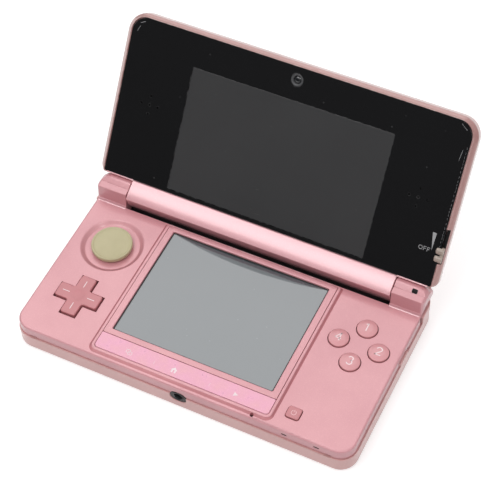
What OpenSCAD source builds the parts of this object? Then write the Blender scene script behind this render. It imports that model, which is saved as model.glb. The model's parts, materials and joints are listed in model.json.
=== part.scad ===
// Clamshell handheld game console, lid open at its working angle.
// Origin at the centre of the underside, X to the right, Y towards the hinge, Z up.
// Lid pieces are drawn in the lid's own frame, with the hinge axis at its origin:
// X to the right, Y up along the open lid, Z out of the display.

/* [Base shells] */
// Full width of the lower shell
base_w = 131; // [129:0.5:138]
// Depth of the base, front to back
base_d = 74; // [73:0.5:80]
// Height of the top face over the underside
base_t = 11.3; // [11.2:0.1:12.5]
// Height of the seam between the two shells
seam_z = 6.8; // [6.6:0.05:7]
// Open gap along the seam
seam_gap = 0.15; // [0.1:0.05:0.25]
// Corner radius of the base in plan
base_r = 6.5; // [5.5:0.5:8]
// How far the upper shell stands in from the lower one
shell_step = 0.4; // [0.2:0.1:0.6]
// Thickness of the side walls
wall_t = 1.5; // [1.3:0.1:1.8]
// Thickness of the top plate
plate_t = 1.5; // [1.3:0.1:1.6]
// Thickness of the floor
floor_t = 1.4; // [1.2:0.1:1.5]
// Radius of the rounded lower edge
foot_r = 2.2; // [1.5:0.1:2.5]
// Radius of the top edge
brow_r = 0.45; // [0.3:0.05:0.6]
// Draft of the side faces
side_draft = 0.2; // [0.1:0.05:0.3]

/* [Hinge] */
// Distance from the hinge axis to the back of the base
axis_back = 7.05; // [7:0.05:7.3]
// Height of the hinge axis over the top face
axis_up = 3; // [2.95:0.05:3.1]
// Opening angle at rest, from closed
lid_angle = 125; // [110:1:140]
// Opening angle against the stop
lid_full = 153; // [150:1:155]
// Gap between each barrel end and its ear
barrel_gap = 0.2; // [0.15:0.05:0.4]
// Radial room between barrel and trough
trough_gap = 0.35; // [0.3:0.05:0.5]
// Reach of the trough in front of the axis
trough_front = 4.9; // [4.85:0.05:5]
// Height of the barrel's front crease over the axis
crease_h = 4.85; // [4.7:0.05:4.9]
// Width across an ear from the barrel gap to the end of its front face
ear_w = 11.5; // [10.5:0.5:12]
// Distance from an ear's front face to the upper shell's side
ear_side = 0.8; // [0.6:0.1:1]
// Height of the ear's ledge over the axis
ear_ledge_h = 3.5; // [3.4:0.05:3.55]
// Height of the ear's crown over the axis
ear_crown_h = 5.25; // [5:0.05:5.3]
// Outward bulge of the ear beyond the upper shell
ear_bulge = 1; // [0.6:0.1:1.2]
// Radius of the hinge pin and the cam shaft
pin_r = 1.8; // [1.5:0.1:1.8]
// Outer radius of the click cartridge and of the hinge bush
cartridge_r = 2.8; // [2.6:0.05:2.85]
// Length of the click cartridge
cartridge_l = 9; // [7:0.5:9.5]
// Radial running room of the hinge pins
pin_run = 0.05; // [0.02:0.01:0.09]

/* [Lid] */
// How far the lid stands out beyond the lower shell on each side
lid_over = 1.5; // [1.2:0.1:2]
// Distance from the hinge axis to the lid's free edge
lid_reach = 67.4; // [67:0.2:72]
// Thickness of the lid
lid_t = 8; // [7.9:0.05:8.1]
// Gap between the panel and the base's top face when closed
closed_gap = 1.7; // [1.65:0.05:1.8]
// Depth of the parting plane behind the panel face
lid_part = 3.95; // [3.9:0.05:4.2]
// Distance from the hinge axis to the lid's edge over the ears
lid_low = 5.5; // [5.5:0.05:5.8]
// Corner radius of the free edge
lid_r = 7.5; // [6:0.5:9]
// Radius of the corners over the ears
lid_low_r = 2.6; // [2.6:0.1:3]
// Skin thickness of the lid's cover
lid_skin = 1.3; // [1.1:0.1:1.4]
// Width of the frame's rails
rail_w = 3.4; // [3.2:0.1:4]
// Slope of the rails from the side to the lip
rail_slope = 1.75; // [1.4:0.05:1.8]
// Rounding of the cover's back edge
lid_back_r = 2.6; // [2:0.1:2.6]
// Thickness of the front panel
panel_t = 0.95; // [0.7:0.05:1]
// Height of the lip over the panel
lip_h = 0.2; // [0.1:0.05:0.3]

/* [Screens] */
// Distance from the lid's side to the upper window
top_win_side = 28.15; // [27.5:0.05:30]
// Distance from the hinge axis to the upper window
top_win_low = 7.35; // [7.3:0.05:8.5]
// Distance from the lid's free edge to the upper window
top_win_top = 13.35; // [13.2:0.05:14.5]
// Thickness of the upper display module
top_disp_t = 2.1; // [1.8:0.1:2.2]
// Width of the border between the raised frame's side and the touch window
win_side = 4; // [3.9:0.1:6]
// Distance from the raised frame's back to the touch window
win_back = 2.4; // [2.3:0.1:4]
// Distance from the front edge to the touch window
win_front = 12.6; // [12.5:0.1:12.8]
// Margin of the touch panel round its window
win_margin = 1.2; // [1:0.1:1.2]
// Thickness of the touch panel
touch_t = 0.9; // [0.8:0.05:1]
// Width of the control fields beside the raised screen frame
control_w = 30.4; // [30:0.1:31]
// Distance from the front edge to the raised frame
frame_front = 2.1; // [2:0.1:2.3]
// Height of the raised frame
frame_h = 0.8; // [0.75:0.05:0.9]
// Width of the frame's sloping border
frame_rim = 1.35; // [1.2:0.05:1.5]
// Corner radius of the raised frame
frame_r = 3; // [2.5:0.1:3.5]
// Depth of the key strip
strip_d = 6.7; // [6.4:0.1:6.9]
// Thickness of the key strip film
film_t = 0.4; // [0.3:0.05:0.4]
// Gap between the screen surround and the key strip
strip_gap = 0.12; // [0.1:0.01:0.2]

/* [Controls] */
// Distance from the base's side to the circle pad's centre
pad_in = 16.25; // [16:0.05:17]
// Distance from the front edge to the circle pad's centre
pad_front = 44.95; // [44.8:0.05:45.2]
// Radius of the circle pad's cap
pad_r = 7.6; // [7.2:0.1:7.7]
// Radius of the dish at its rim
dish_r = 11.65; // [11.4:0.05:11.8]
// Depth of the dish
dish_deep = 1.4; // [1.3:0.05:1.5]
// Travel of the circle pad each way along one axis
pad_travel = 1.7; // [1.2:0.1:1.7]
// How far the pad's rim stands over the top face
pad_proud = 1.2; // [1:0.05:1.25]
// Distance from the base's side to the direction pad's centre
cross_in = 16.5; // [16:0.1:17]
// Distance from the front edge to the direction pad's centre
cross_front = 19.9; // [19.5:0.1:20.2]
// Span of the direction pad
cross_span = 16.9; // [16:0.1:17.1]
// Width of the direction pad's arms
cross_arm = 5.9; // [5.4:0.1:6.2]
// How far the direction pad stands over the top face
cross_proud = 1; // [0.8:0.05:1.1]
// Distance from the base's side to the face buttons' centre
keys_in = 15.55; // [15.3:0.05:16]
// Distance from the front edge to the face buttons' centre
keys_front = 41.95; // [41.5:0.05:42.5]
// Distance of each face button from their centre
keys_ring = 7.5; // [7.2:0.1:7.8]
// Radius of a face button
key_r = 3.7; // [3.4:0.05:3.8]
// How far a face button stands over the top face
key_proud = 1.12; // [1:0.02:1.2]
// Clearance round every button
key_gap = 0.18; // [0.15:0.01:0.25]
// Distance from the base's side to the power button's centre
power_in = 24.35; // [24:0.05:25]
// Distance from the front edge to the power button's centre
power_front = 8.15; // [8:0.05:8.4]
// Width of the power button
power_w = 4.95; // [4.6:0.05:5.2]
// Depth of the power button
power_d = 4.55; // [4.2:0.05:4.8]
// Distance from the end of the strip to its outer key
strip_end = 6.65; // [6:0.05:8]
// Gap between two keys under the strip
strip_key_gap = 7.6; // [7:0.1:9]
// Depth of one key under the strip
strip_key_d = 3.2; // [2.8:0.1:3.4]

/* [Sides] */
// Height of a shoulder button
shoulder_h = 3.6; // [3.2:0.1:3.7]
// Length of a shoulder button along the side
shoulder_side = 11.8; // [11:0.1:12]
// Thickness of a shoulder button's skin
shoulder_t = 2.3; // [2:0.1:2.4]
// Distance from the base's side to a shoulder button's pivot
shoulder_pivot_in = 10.2; // [10:0.1:10.5]
// Front distance of the wireless switch's middle
wireless_front = 45.6; // [45:0.1:47]
// Length of the wireless switch
wireless_l = 6.5; // [5.5:0.1:7]
// Travel of the wireless switch
wireless_travel = 1.5; // [1:0.1:2]
// Front distance of the volume slider's middle
volume_front = 23; // [22:0.5:25]
// Length of the volume slider
volume_l = 5.5; // [5:0.1:6]
// Travel of the volume slider each way
volume_travel = 3.5; // [3:0.1:4]
// Distance from the base's back to the memory card door's middle
sd_back = 23; // [22.8:0.1:23.2]
// Length of the memory card door
sd_l = 25.4; // [25:0.1:25.6]
// Height of the memory card door
sd_h = 3.4; // [3.2:0.1:3.5]
// Radius of the headphone jack's bore
jack_bore_r = 1.8; // [1.75:0.01:1.85]
// Height of the headphone jack's axis
jack_z = 5.95; // [5.8:0.05:6]
// Offset of the headphone jack from the middle
jack_x = 0.8; // [0:0.1:1.2]
// Length of the headphone jack
jack_l = 12.5; // [11:0.5:13]
// Distance from the base's side to a strap slot
strap_in = 8.5; // [8.1:0.1:9.5]
// Width of a strap slot
strap_w = 2.75; // [2.4:0.05:3]
// Distance from the base's side to the inner status light
led_in = 24.65; // [23.5:0.05:25.5]
// Spacing of the two status lights
led_pitch = 11.9; // [11:0.1:12.2]
// Width of a status light
led_w = 2; // [1.6:0.1:2.2]
// Height of a status light
led_h = 0.9; // [0.7:0.05:1]

/* [Inside] */
// Width of the game card slot
card_w = 34.2; // [34:0.1:35]
// Height of the game card slot
card_h = 4.3; // [4.2:0.01:4.3]
// Depth of the game card slot from the back
card_l = 29; // [28:0.5:30]
// Middle of the game card slot
card_x = -13.5; // [-14:0.1:-13]
// Radius of the stylus
stylus_r = 2.1; // [1.9:0.05:2.15]
// Stored length of the stylus
stylus_l = 64; // [60:0.5:65]
// Middle of the stylus tunnel
stylus_x = 13.5; // [13:0.1:14.5]
// Thickness of the main board
board_t = 0.8; // [0.7:0.05:0.8]
// Room between the top plate and the main board
board_room = 2.45; // [2.4:0.05:2.5]
// Distance from the side wall to the battery
battery_in = 8.1; // [7.8:0.1:12]
// Distance from the battery to the headphone jack
battery_side = 2.4; // [2.2:0.1:8]
// Distance from the battery to the game card reader
battery_back = 2.1; // [1.8:0.1:8]
// Thickness of the battery
battery_t = 4.9; // [4.5:0.05:4.95]
// Radius of a cover screw
screw_r = 0.85; // [0.7:0.05:0.9]
// Radius of a cover screw's head
screw_head_r = 1.7; // [1.5:0.1:1.8]
// Radius of a screw boss
boss_r = 2.3; // [2.1:0.1:2.4]

/* [Hidden] */
$fn = 48;

shell_pink = [0.93, 0.71, 0.73];
side_pink = [0.86, 0.66, 0.66];
key_rose = [0.80, 0.56, 0.58];
strip_pink = [0.94, 0.72, 0.80];
cap_beige = [0.77, 0.74, 0.60];
gloss_black = [0.11, 0.11, 0.12];
glass_grey = [0.58, 0.62, 0.64];
board_green = [0.10, 0.32, 0.22];
steel = [0.72, 0.73, 0.75];
tin = [0.80, 0.80, 0.78];
soft_grey = [0.62, 0.62, 0.62];

eps = 0.01;
fit = 0.05;
hull_fn = 32;
edge_steps = 3;

// Heights in the base, from the underside up
front_y = -base_d / 2;
back_y = base_d / 2;
side_x = base_w / 2;
upper_x = side_x - shell_step;
lid_w = base_w + 2 * lid_over;
rim_z = seam_z + seam_gap;
under_z = base_t - plate_t;
board_top = under_z - board_room;
board_z = board_top - board_t;
axis_y = back_y - axis_back;
axis_z = base_t + axis_up;

// Hinge
panel_m = axis_up - closed_gap;
barrel_r = lid_t - panel_m;
trough_r = barrel_r + trough_gap;
trough_y = axis_y - trough_front;
trough_skin = 0.9;
inner_top = axis_z - trough_r - trough_skin - 0.1;
ear_end = upper_x - ear_side;
ear_in = ear_end - ear_w;
barrel_l = 2 * (ear_in - barrel_gap);
barrel_bore_r = 3.5;
barrel_plug = 8;
bush_l = cartridge_l - 1.5;

// Screens
frame_w = base_w - 2 * control_w;
pocket_w = frame_w - 2 * frame_rim;
pocket_front = front_y + frame_front + frame_rim;
frame_back = trough_y - 0.45;
pocket_back = frame_back - frame_rim / 3;
frame_top = base_t + frame_h;
strip_back = pocket_front + strip_d;
win_w = frame_w - 2 * win_side;
win_h = frame_back - win_back - front_y - win_front;
screen_y = front_y + win_front + win_h / 2;
touch_w = win_w + 2 * win_margin;
touch_d = win_h + 2 * win_margin;
seat = 0.03;
top_win_w = lid_w - 2 * top_win_side;
top_win_h = lid_reach - top_win_top - top_win_low;
top_win_v = top_win_low + top_win_h / 2;

// Control centres
pad_x = -side_x + pad_in;
pad_y = front_y + pad_front;
cross_x = -side_x + cross_in;
cross_y = front_y + cross_front;
keys_x = side_x - keys_in;
keys_y = front_y + keys_front;
power_x = side_x - power_in;
power_y = front_y + power_front;
flange_t = 0.65;
flange_lip = 0.6;
flange_z = under_z - 0.15 - flange_t;
sheet_t = 0.3;
dome_h = 0.4;
dish_floor = base_t - dish_deep;
dish_floor_t = 1;
dish_floor_r = dish_r - 1.4;
cap_gap = 0.45;
stem_r = 2.5;
slider_t = 0.85;
slider_z = board_top + 0.55;
cross_tilt_room = 0.75;
cross_flange_r = cross_span / 2 + 0.6;
cross_flange_z = under_z - cross_tilt_room - flange_t;
strip_y = pocket_front + strip_d / 2;
strip_key_w = (pocket_w / 2 - strip_end - strip_key_gap) / 1.5;
strip_pitch = strip_key_w + strip_key_gap;
strip_switch_w = 4;
power_switch_w = 3.4;
strip_pad_z = base_t + frame_h - film_t - 2 * seat;
mic_x = side_x - 37;
mic_r = 0.65;
pad_slot_w = 1.6;
pad_slider_w = 5.6;
pad_slider_d = 3.2;

// Sides
shoulder_z = base_t - 0.65 - shoulder_h;
shoulder_out = upper_x + 0.6;
shoulder_hub_r = 1.6;
shoulder_shelf = 0.85;
shoulder_room = 1.2;
shoulder_pivot_x = side_x - shoulder_pivot_in;
shoulder_pivot_y = back_y - 3.3;
shoulder_pin_r = 0.8;
wireless_y = front_y + wireless_front;
volume_y = front_y + volume_front;
switch_h = 1.3;
switch_z = rim_z + 0.35;
switch_out = 0.55;
switch_in = 3.4;
sd_y = back_y - sd_back;
sd_z = 2.6;
sd_t = 1.6;
sd_pin_x = -side_x + sd_t / 2 + 0.05;
sd_pin_y = sd_y - sd_l / 2 + sd_t / 2;
sd_pin_r = 0.4;
jack_body_r = 2.3;
jack_body_w = 6.4;
jack_shell_l = 2.2;
strip_switch_x = jack_body_r + 0.9 + strip_switch_w / 2 - jack_x;
led_z = rim_z + 1.85;
led_x = side_x - led_in;
strap_x = side_x - strap_in;
port_x = side_x - 20.5;
port_w = 9;
port_h = 2.6;
port_z = 4.2;
ir_x = side_x - 35.5;
ir_w = 11;
ir_h = 3.2;
contact_x = side_x - 29.5;
contact_out = 2.2;
contact_w = 1.6;

// Inside
card_z = floor_t + 0.55;
card_skin = 0.5;
card_y = back_y - card_l;
stylus_z = floor_t + stylus_r + 0.4;
stylus_run = 0.1;
stylus_front = back_y - stylus_l;
reader_wall = 2.4;
battery_x0 = -side_x + wall_t + battery_in;
battery_w = jack_x - jack_body_r - battery_side - battery_x0;
battery_x = battery_x0 + battery_w / 2;
battery_y0 = front_y + wall_t + 2.5;
battery_l = card_y - reader_wall - battery_back - battery_y0;
battery_y = battery_y0 + battery_l / 2;
socket_side = 6.8;
socket_wall = 1.5;
shield_h = 2.2;
shield_side = 6.4;
shield_lap = 1.5;
board_side = 21.5;
radio_side = 10.4;
radio_h = 1.9;
radio_front = 11;
radio_d = 14;
board_hole_out = 2.9;
board_hole_in = 3.3;
bosses = [
    [side_x - 6.2, front_y + 5.6], [-side_x + 6.2, front_y + 5.6],
    [side_x - 8, back_y - 7.6], [-side_x + 8, back_y - 7.6]
];
head_deep = 1.9;
tube_top = seam_z - 0.1;
boss_gap = 0.1;

// Lid, in its own frame
lid_part_m = panel_m - lid_part;
lid_back_m = -barrel_r;
ridge_v = 5.3;
ridge_up = 1;
lid_gap = 0.15;
lip_m = panel_m + lip_h;
web_m = panel_m - panel_t - seat;
web_t = 1.2;
panel_edge = 0.35;
panel_w = lid_w - 2 * rail_slope - 2 * panel_edge;
panel_top = lid_reach - rail_slope / 2 - panel_edge;
panel_low = lid_low + 0.35;
panel_r = lid_r - 1.3;
inner_cam_v = lid_reach - 6;
inner_cam_r = 2.35;
cam_box = inner_cam_r + 0.85;
speaker_x = lid_w / 2 - 14.6;
speaker_w = 12;
speaker_d = 16;
speaker_t = 2.5;
slider_board_in = 6.2;
slider_board_w = 4;
speaker_v = top_win_v + 4.7;
speaker_pitch = 3.35;
speaker_hole_r = 0.55;
outer_cam_x = 17.5;
outer_cam_v = lid_reach - 13.4;
outer_cam_r = 3.2;
knob_l = 5.8;
knob_v = 15 + knob_l / 2;
knob_travel = 6.6;
slot_top_v = knob_v + knob_l / 2 + knob_travel + 0.35;
ribbon_w = 16;
tongue_l = 3.2;
tongue_in = 3.6;
tongue_t = 0.7;
tongue_m = web_m - web_t + 0.13;
rail_in = panel_w / 2 - 0.05;
knob_x = panel_w / 2 + 0.25;
knob_w = 1.1;

// Profile points of a rounded edge that ends at height z, turning inwards
function edge_up(r, z, f) = [for (i = [0 : edge_steps])
    [r - f + f * cos(90 * i / edge_steps), z - f + f * sin(90 * i / edge_steps)]];
function edge_down(r, z, f) = [for (i = [edge_steps : -1 : 0])
    [r - f + f * cos(90 * i / edge_steps), z + f - f * sin(90 * i / edge_steps)]];

// Rounded rectangle with true arcs
module rounded(w, d, r) {
    square([w - 2 * r, d], center = true);
    square([w, d - 2 * r], center = true);
    for (x = [-1, 1], y = [-1, 1])
        translate([x * (w / 2 - r), y * (d / 2 - r)])
            circle(r = r);
}

// Upright rounded block standing on z
module block(w, d, r, z, h) {
    translate([0, 0, z])
        linear_extrude(h)
            rounded(w, d, r);
}

// Box from its lowest corner to its highest
module span(low, high) {
    translate(low)
        cube(high - low);
}

// Hull of one turned profile set at the four corners of a rectangle
module cornered(w, d, r, profile) {
    hull()
        for (x = [-1, 1], y = [-1, 1])
            translate([x * (w / 2 - r), y * (d / 2 - r), 0])
                rotate_extrude($fn = hull_fn)
                    polygon(profile);
}

// Bar along X with its section given in Y and Z
module along_x(x0, x1) {
    translate([x0, 0, 0])
        rotate([90, 0, 90])
            linear_extrude(x1 - x0)
                children();
}

// Round bar along X through the hinge axis of the base
module axis_bar(r, x0, x1) {
    translate([x0, axis_y, axis_z])
        rotate([0, 90, 0])
            cylinder(r = r, h = x1 - x0);
}

// Moves lid pieces from the lid's frame to their open place
module on_lid() {
    translate([0, axis_y, axis_z])
        rotate([180 - lid_angle, 0, 0])
            children();
}

// Base shells

module shell_screw_holes() {
    for (b = bosses)
        translate([b.x, b.y, 0]) {
            translate([0, 0, -1])
                cylinder(r = screw_head_r + 0.2, h = head_deep + 1);
            cylinder(r = screw_r + 0.15, h = seam_z + 2);
        }
}

module shoulder_pocket(side) {
    z0 = shoulder_z - 0.15;
    h = shoulder_h + 0.3;
    inner = shoulder_t + shoulder_room;
    mirror([side < 0 ? 1 : 0, 0, 0]) {
        difference() {
            span([shoulder_pivot_x - 1.9, back_y - shoulder_side - shoulder_room, z0],
                 [side_x + 2, back_y + 1, z0 + h]);
            block(2 * (shoulder_out - inner), base_d - 0.4 - 2 * inner, base_r - inner, z0 - 1, h + 2);
        }
        translate([shoulder_pivot_x, shoulder_pivot_y, z0])
            cylinder(r = shoulder_hub_r + 0.25, h = h);
    }
}

module shoulder_mounting(side) {
    x = shoulder_pivot_x;
    mirror([side < 0 ? 1 : 0, 0, 0]) {
        span([x - 2.6, back_y - 12, rim_z], [x + 4.6, shoulder_pivot_y, under_z + 0.2]);
        span([x - 2.6, shoulder_pivot_y - 1.75, shoulder_z - 0.15 - shoulder_shelf],
             [x + 2.2, shoulder_pivot_y + 1.4, rim_z + 0.2]);
    }
}

module switch_window(side, y, l, low, high) {
    x0 = side > 0 ? side_x - wall_t - 2 : -side_x - 2;
    span([x0, y - l / 2 - low - key_gap, switch_z - key_gap],
         [x0 + wall_t + 4, y + l / 2 + high + key_gap, switch_z + switch_h + key_gap]);
}

module jack_recess() {
    translate([jack_x, front_y - 1, jack_z])
        rotate([-90, 0, 0])
            linear_extrude(jack_shell_l + 1 + fit)
                rounded(jack_body_w + 2 * fit, 2 * (jack_body_r + fit), jack_body_r + fit - eps);
    translate([jack_x, front_y, jack_z])
        rotate([-90, 0, 0])
            cylinder(r = jack_body_r + 3 * fit, h = jack_l + fit);
}

module strap_slots() {
    for (x = [-1, 1])
        span([x * strap_x - strap_w / 2, front_y - 1, seam_z - 0.15],
             [x * strap_x + strap_w / 2, front_y + wall_t + 1, seam_z + 0.75]);
}

module lower_shell() {
    difference() {
        union() {
            difference() {
                cornered(base_w, base_d, base_r,
                    concat([[0, 0]], edge_down(base_r - side_draft, 0, foot_r),
                        [[base_r, seam_z - 0.15], [base_r - 0.15, seam_z], [0, seam_z]]));
                block(base_w - 2 * wall_t, base_d - 2 * wall_t, base_r - wall_t, floor_t, base_t);
            }
            for (b = bosses)
                translate([b.x, b.y, floor_t - eps])
                    cylinder(r = boss_r, h = tube_top - floor_t);
            span([stylus_x - stylus_r - 1, stylus_front - 1.6, floor_t - eps],
                 [stylus_x + stylus_r + 1, back_y - wall_t / 2, stylus_z + stylus_r - 0.1]);
            for (x = [-1, 1])
                span([battery_x + x * (battery_w / 2 + 0.9) - 0.4, front_y + wall_t - eps, floor_t - eps],
                     [battery_x + x * (battery_w / 2 + 0.9) + 0.4,
                      battery_y + battery_l / 2 - 3, floor_t + battery_t - 1]);
            span([battery_x - battery_w / 2 - 1.3, battery_y + battery_l / 2 + 0.4, floor_t - eps],
                 [battery_x + battery_w / 2 + 1.3, battery_y + battery_l / 2 + 1.2,
                  floor_t + battery_t - 1]);
        }
        shell_screw_holes();
        translate([stylus_x, stylus_front - 0.5, stylus_z])
            rotate([-90, 0, 0])
                cylinder(r = stylus_r + stylus_run, h = stylus_l + 2);
        span([card_x - card_w / 2, back_y - wall_t - 1, card_z],
             [card_x + card_w / 2, back_y + 1, seam_z + 1]);
        span([-side_x - 1, sd_y - sd_l / 2 - 0.15, sd_z - 0.15],
             [-side_x + sd_t + 0.15, sd_y + sd_l / 2 + 0.15, sd_z + sd_h + 0.15]);
        span([-side_x, sd_y - sd_l / 2 + 2 * sd_t, sd_z],
             [-side_x + wall_t + 1, sd_y + sd_l / 2 - 0.5, sd_z + sd_h - 0.3]);
        translate([sd_pin_x, sd_pin_y, sd_z - 0.8])
            cylinder(r = sd_pin_r + fit, h = sd_h + 1.4);
        jack_recess();
        strap_slots();
        span([port_x - port_w / 2, back_y - wall_t - 1, port_z - port_h / 2],
             [port_x + port_w / 2, back_y + 1, port_z + port_h / 2]);
        span([ir_x - ir_w / 2 - fit, back_y - wall_t - 1, port_z - ir_h / 2 - fit],
             [ir_x + ir_w / 2 + fit, back_y + 1, port_z + ir_h / 2 + fit]);
        for (x = [-1, 1])
            span([contact_x + contact_out * x - contact_w / 2 - fit, back_y - 6 - fit, -1],
                 [contact_x + contact_out * x + contact_w / 2 + fit, back_y - 3 + fit, floor_t + 1]);
        shoulder_pocket(1);
        shoulder_pocket(-1);
    }
}

// Front and top facets of an ear, in Y and Z from the hinge axis
module ear_lower(inset) {
    f = -trough_front + 0.15;
    polygon([[f + inset, -axis_up - 0.1], [f + 0.85 + inset, ear_ledge_h - inset],
             [-1.55, ear_ledge_h + 0.3 - 1.2 * inset], [5.1 - inset, 1.2 - inset], [5.9 - inset, -0.3],
             [axis_back - 0.5 - inset, -1.8], [axis_back - 0.45 - inset, -axis_up - 0.1]]);
}

module ear_upper(inset) {
    h = ear_crown_h - inset;
    polygon([[-1.55 + inset, -axis_up - 0.1], [-1.55 + inset, ear_ledge_h + 0.3 - inset], [-0.1, h - 0.32],
             [0.35, h], [1, h - 0.13], [2.6, h - 0.7], [4.3 - inset, 3 - inset], [5.1 - inset, 1.2 - inset],
             [5.9 - inset, -0.3], [axis_back - 0.45 - inset, -axis_up - 0.1]]);
}

module ear_body(side) {
    out = upper_x + ear_bulge;
    mirror([side < 0 ? 1 : 0, 0, 0])
        translate([0, axis_y, axis_z]) {
            hull() {
                along_x(ear_in - 0.5, ear_end)
                    ear_lower(0);
                along_x(ear_end, out - 0.45)
                    intersection() {
                        ear_lower(0.45);
                        square([20, 2 * ear_ledge_h - 0.7], center = true);
                    }
                along_x(ear_end, out)
                    polygon([[-2.7, -0.6], [-2.7, ear_ledge_h - 1.1], [-1.9, ear_ledge_h - 0.6],
                             [2, ear_ledge_h - 0.9], [4.6, 0.2], [4.6, -0.6]]);
                along_x(ear_end, upper_x - side_draft)
                    polygon([[f_side(), -axis_up - 0.1], [f_side(), -1], [5.6, -1], [5.6, -axis_up - 0.1]]);
            }
            hull() {
                along_x(ear_in - 0.5, ear_end - 3.1)
                    ear_upper(0);
                along_x(ear_end - 3.1, ear_end - 0.9)
                    ear_upper(0.5);
                along_x(ear_end, out - 0.3)
                    polygon([[-2.2, 0], [-2.2, ear_ledge_h - 0.8], [-1.4, ear_ledge_h - 0.35],
                             [1.8, ear_ledge_h - 0.4], [4.4, 0.9], [4.4, 0]]);
            }
        }
}

function f_side() = -trough_front + 1.1;

// Room of the lid's barrel and back, in Y and Z from the hinge axis
module trough_profile() {
    intersection() {
        circle(r = trough_r);
        translate([-trough_front, -2 * trough_r])
            square([4 * trough_r, 2 * trough_r + 1]);
    }
    translate([-trough_front, 0])
        square([trough_front + 2 * axis_back, lid_reach]);
    rotate(180 - lid_full)
        translate([0, fit - trough_r])
            square([lid_reach, lid_reach]);
}

module trough_cut() {
    translate([0, axis_y, axis_z])
        along_x(-ear_in, ear_in)
            trough_profile();
}

module trough_floor() {
    x = ear_in + trough_skin;
    intersection() {
        axis_bar(trough_r + trough_skin, -x, x);
        span([-x, trough_y - trough_skin, 0], [x, back_y - wall_t, under_z + eps]);
    }
}

module raised_frame() {
    d = frame_back - front_y - frame_front;
    translate([0, (frame_back + front_y + frame_front) / 2, 0])
        hull() {
            block(frame_w, d, frame_r, base_t - 0.2, 0.2, $fn = hull_fn);
            block(frame_w - frame_h, d - frame_h, frame_r, frame_top - 0.15, 0.15, $fn = hull_fn);
        }
}

module frame_pocket() {
    d = pocket_back - pocket_front;
    translate([0, (pocket_back + pocket_front) / 2, 0])
        block(pocket_w, d, frame_r - frame_rim / 2, base_t, frame_h + 1);
}

module strip_pads() {
    span([-pocket_w / 2 - eps, pocket_front - eps, base_t - eps],
         [pocket_w / 2 + eps, strip_back - 0.2, strip_pad_z]);
}

module pad_dish() {
    translate([pad_x, pad_y, dish_floor])
        cylinder(r1 = dish_floor_r, r2 = dish_r + 0.05, h = dish_deep + 0.05);
    translate([pad_x, pad_y, 0])
        cylinder(r = stem_r + sqrt(2) * pad_travel + 0.2, h = base_t);
}

module cross_outline(gap) {
    square([cross_span + 2 * gap, cross_arm + 2 * gap], center = true);
    square([cross_arm + 2 * gap, cross_span + 2 * gap], center = true);
}

module upper_shell() {
    h = base_t - seam_z;
    color(shell_pink)
    difference() {
        union() {
            difference() {
                cornered(2 * upper_x, base_d - 2 * shell_step, base_r - shell_step,
                    concat([[0, rim_z], [base_r - shell_step, rim_z]],
                        edge_up(base_r - shell_step - side_draft, base_t, brow_r), [[0, base_t]]));
                block(2 * (upper_x - wall_t), base_d - 2 * shell_step - 2 * wall_t,
                    base_r - wall_t - shell_step, 0, under_z);
            }
            raised_frame();
            ear_body(1);
            ear_body(-1);
            trough_floor();
            translate([pad_x, pad_y, dish_floor - dish_floor_t])
                cylinder(r = dish_r + 1, h = dish_floor_t + dish_deep - 0.5);
            for (b = bosses)
                translate([b.x, b.y, tube_top + boss_gap])
                    cylinder(r = boss_r, h = base_t - 0.3 - tube_top - boss_gap);
            shoulder_mounting(1);
            shoulder_mounting(-1);
            span([card_x - card_w / 2 + 0.3, back_y - shell_step - wall_t, card_z + card_h + 0.05],
                 [card_x + card_w / 2 - 0.3, back_y - shell_step - 0.2, rim_z + 0.5]);
        }
        difference() {
            frame_pocket();
            strip_pads();
        }
        translate([0, screen_y, 0])
            block(touch_w + 2 * fit, touch_d + 2 * fit, 0.5, 0, base_t + 1);
        trough_cut();
        pad_dish();
        translate([cross_x, cross_y, 0])
            linear_extrude(base_t + 1)
                cross_outline(2 * key_gap);
        for (a = [0 : 90 : 270])
            translate([keys_x + keys_ring * cos(a), keys_y + keys_ring * sin(a), 0])
                cylinder(r = key_r + key_gap, h = base_t + 1);
        translate([power_x, power_y, 0])
            block(power_w + 2 * key_gap, power_d + 2 * key_gap, 0.9 + key_gap, 0, base_t + 1);
        for (k = [-1 : 1])
            translate([k * strip_pitch, strip_y, 0])
                block(strip_key_w + 2 * key_gap, strip_key_d + 2 * key_gap, 0.8, 0, base_t + 1);
        for (b = bosses)
            translate([b.x, b.y, 0])
                cylinder(r = screw_r + 0.05, h = under_z);
        shoulder_pocket(1);
        shoulder_pocket(-1);
        for (x = [-1, 1])
            translate([x * shoulder_pivot_x, shoulder_pivot_y, 0])
                cylinder(r = shoulder_pin_r + fit, h = shoulder_z + shoulder_h + 1.1);
        switch_window(1, wireless_y, wireless_l, 0, wireless_travel);
        switch_window(-1, volume_y, volume_l, volume_travel, volume_travel);
        jack_recess();
        strap_slots();
        for (k = [0, 1])
            span([led_x + k * led_pitch - led_w / 2, front_y - 1, led_z - led_h / 2],
                 [led_x + k * led_pitch + led_w / 2, front_y + 3, led_z + led_h / 2]);
        translate([mic_x, front_y + frame_front - 0.4, under_z - 1])
            cylinder(r = mic_r, h = plate_t + frame_h + 2);
        axis_bar(cartridge_r + fit, ear_in - 1, ear_in + cartridge_l + fit);
        axis_bar(cartridge_r + fit, -ear_in - bush_l - fit, -ear_in + 1);
        notification_seat();
    }
}

module screen_surround() {
    y0 = strip_back + strip_gap;
    d = pocket_back - seat - y0;
    color(shell_pink)
    difference() {
        intersection() {
            translate([0, y0, 0])
                block(pocket_w - 2 * fit, 2 * d, frame_r - frame_rim / 2, base_t + seat, frame_h);
            span([-pocket_w, y0, 0], [pocket_w, pocket_back, base_t * 2]);
        }
        translate([0, screen_y, 0])
            block(win_w, win_h, 0.4, base_t, frame_h + 1);
    }
}

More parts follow.
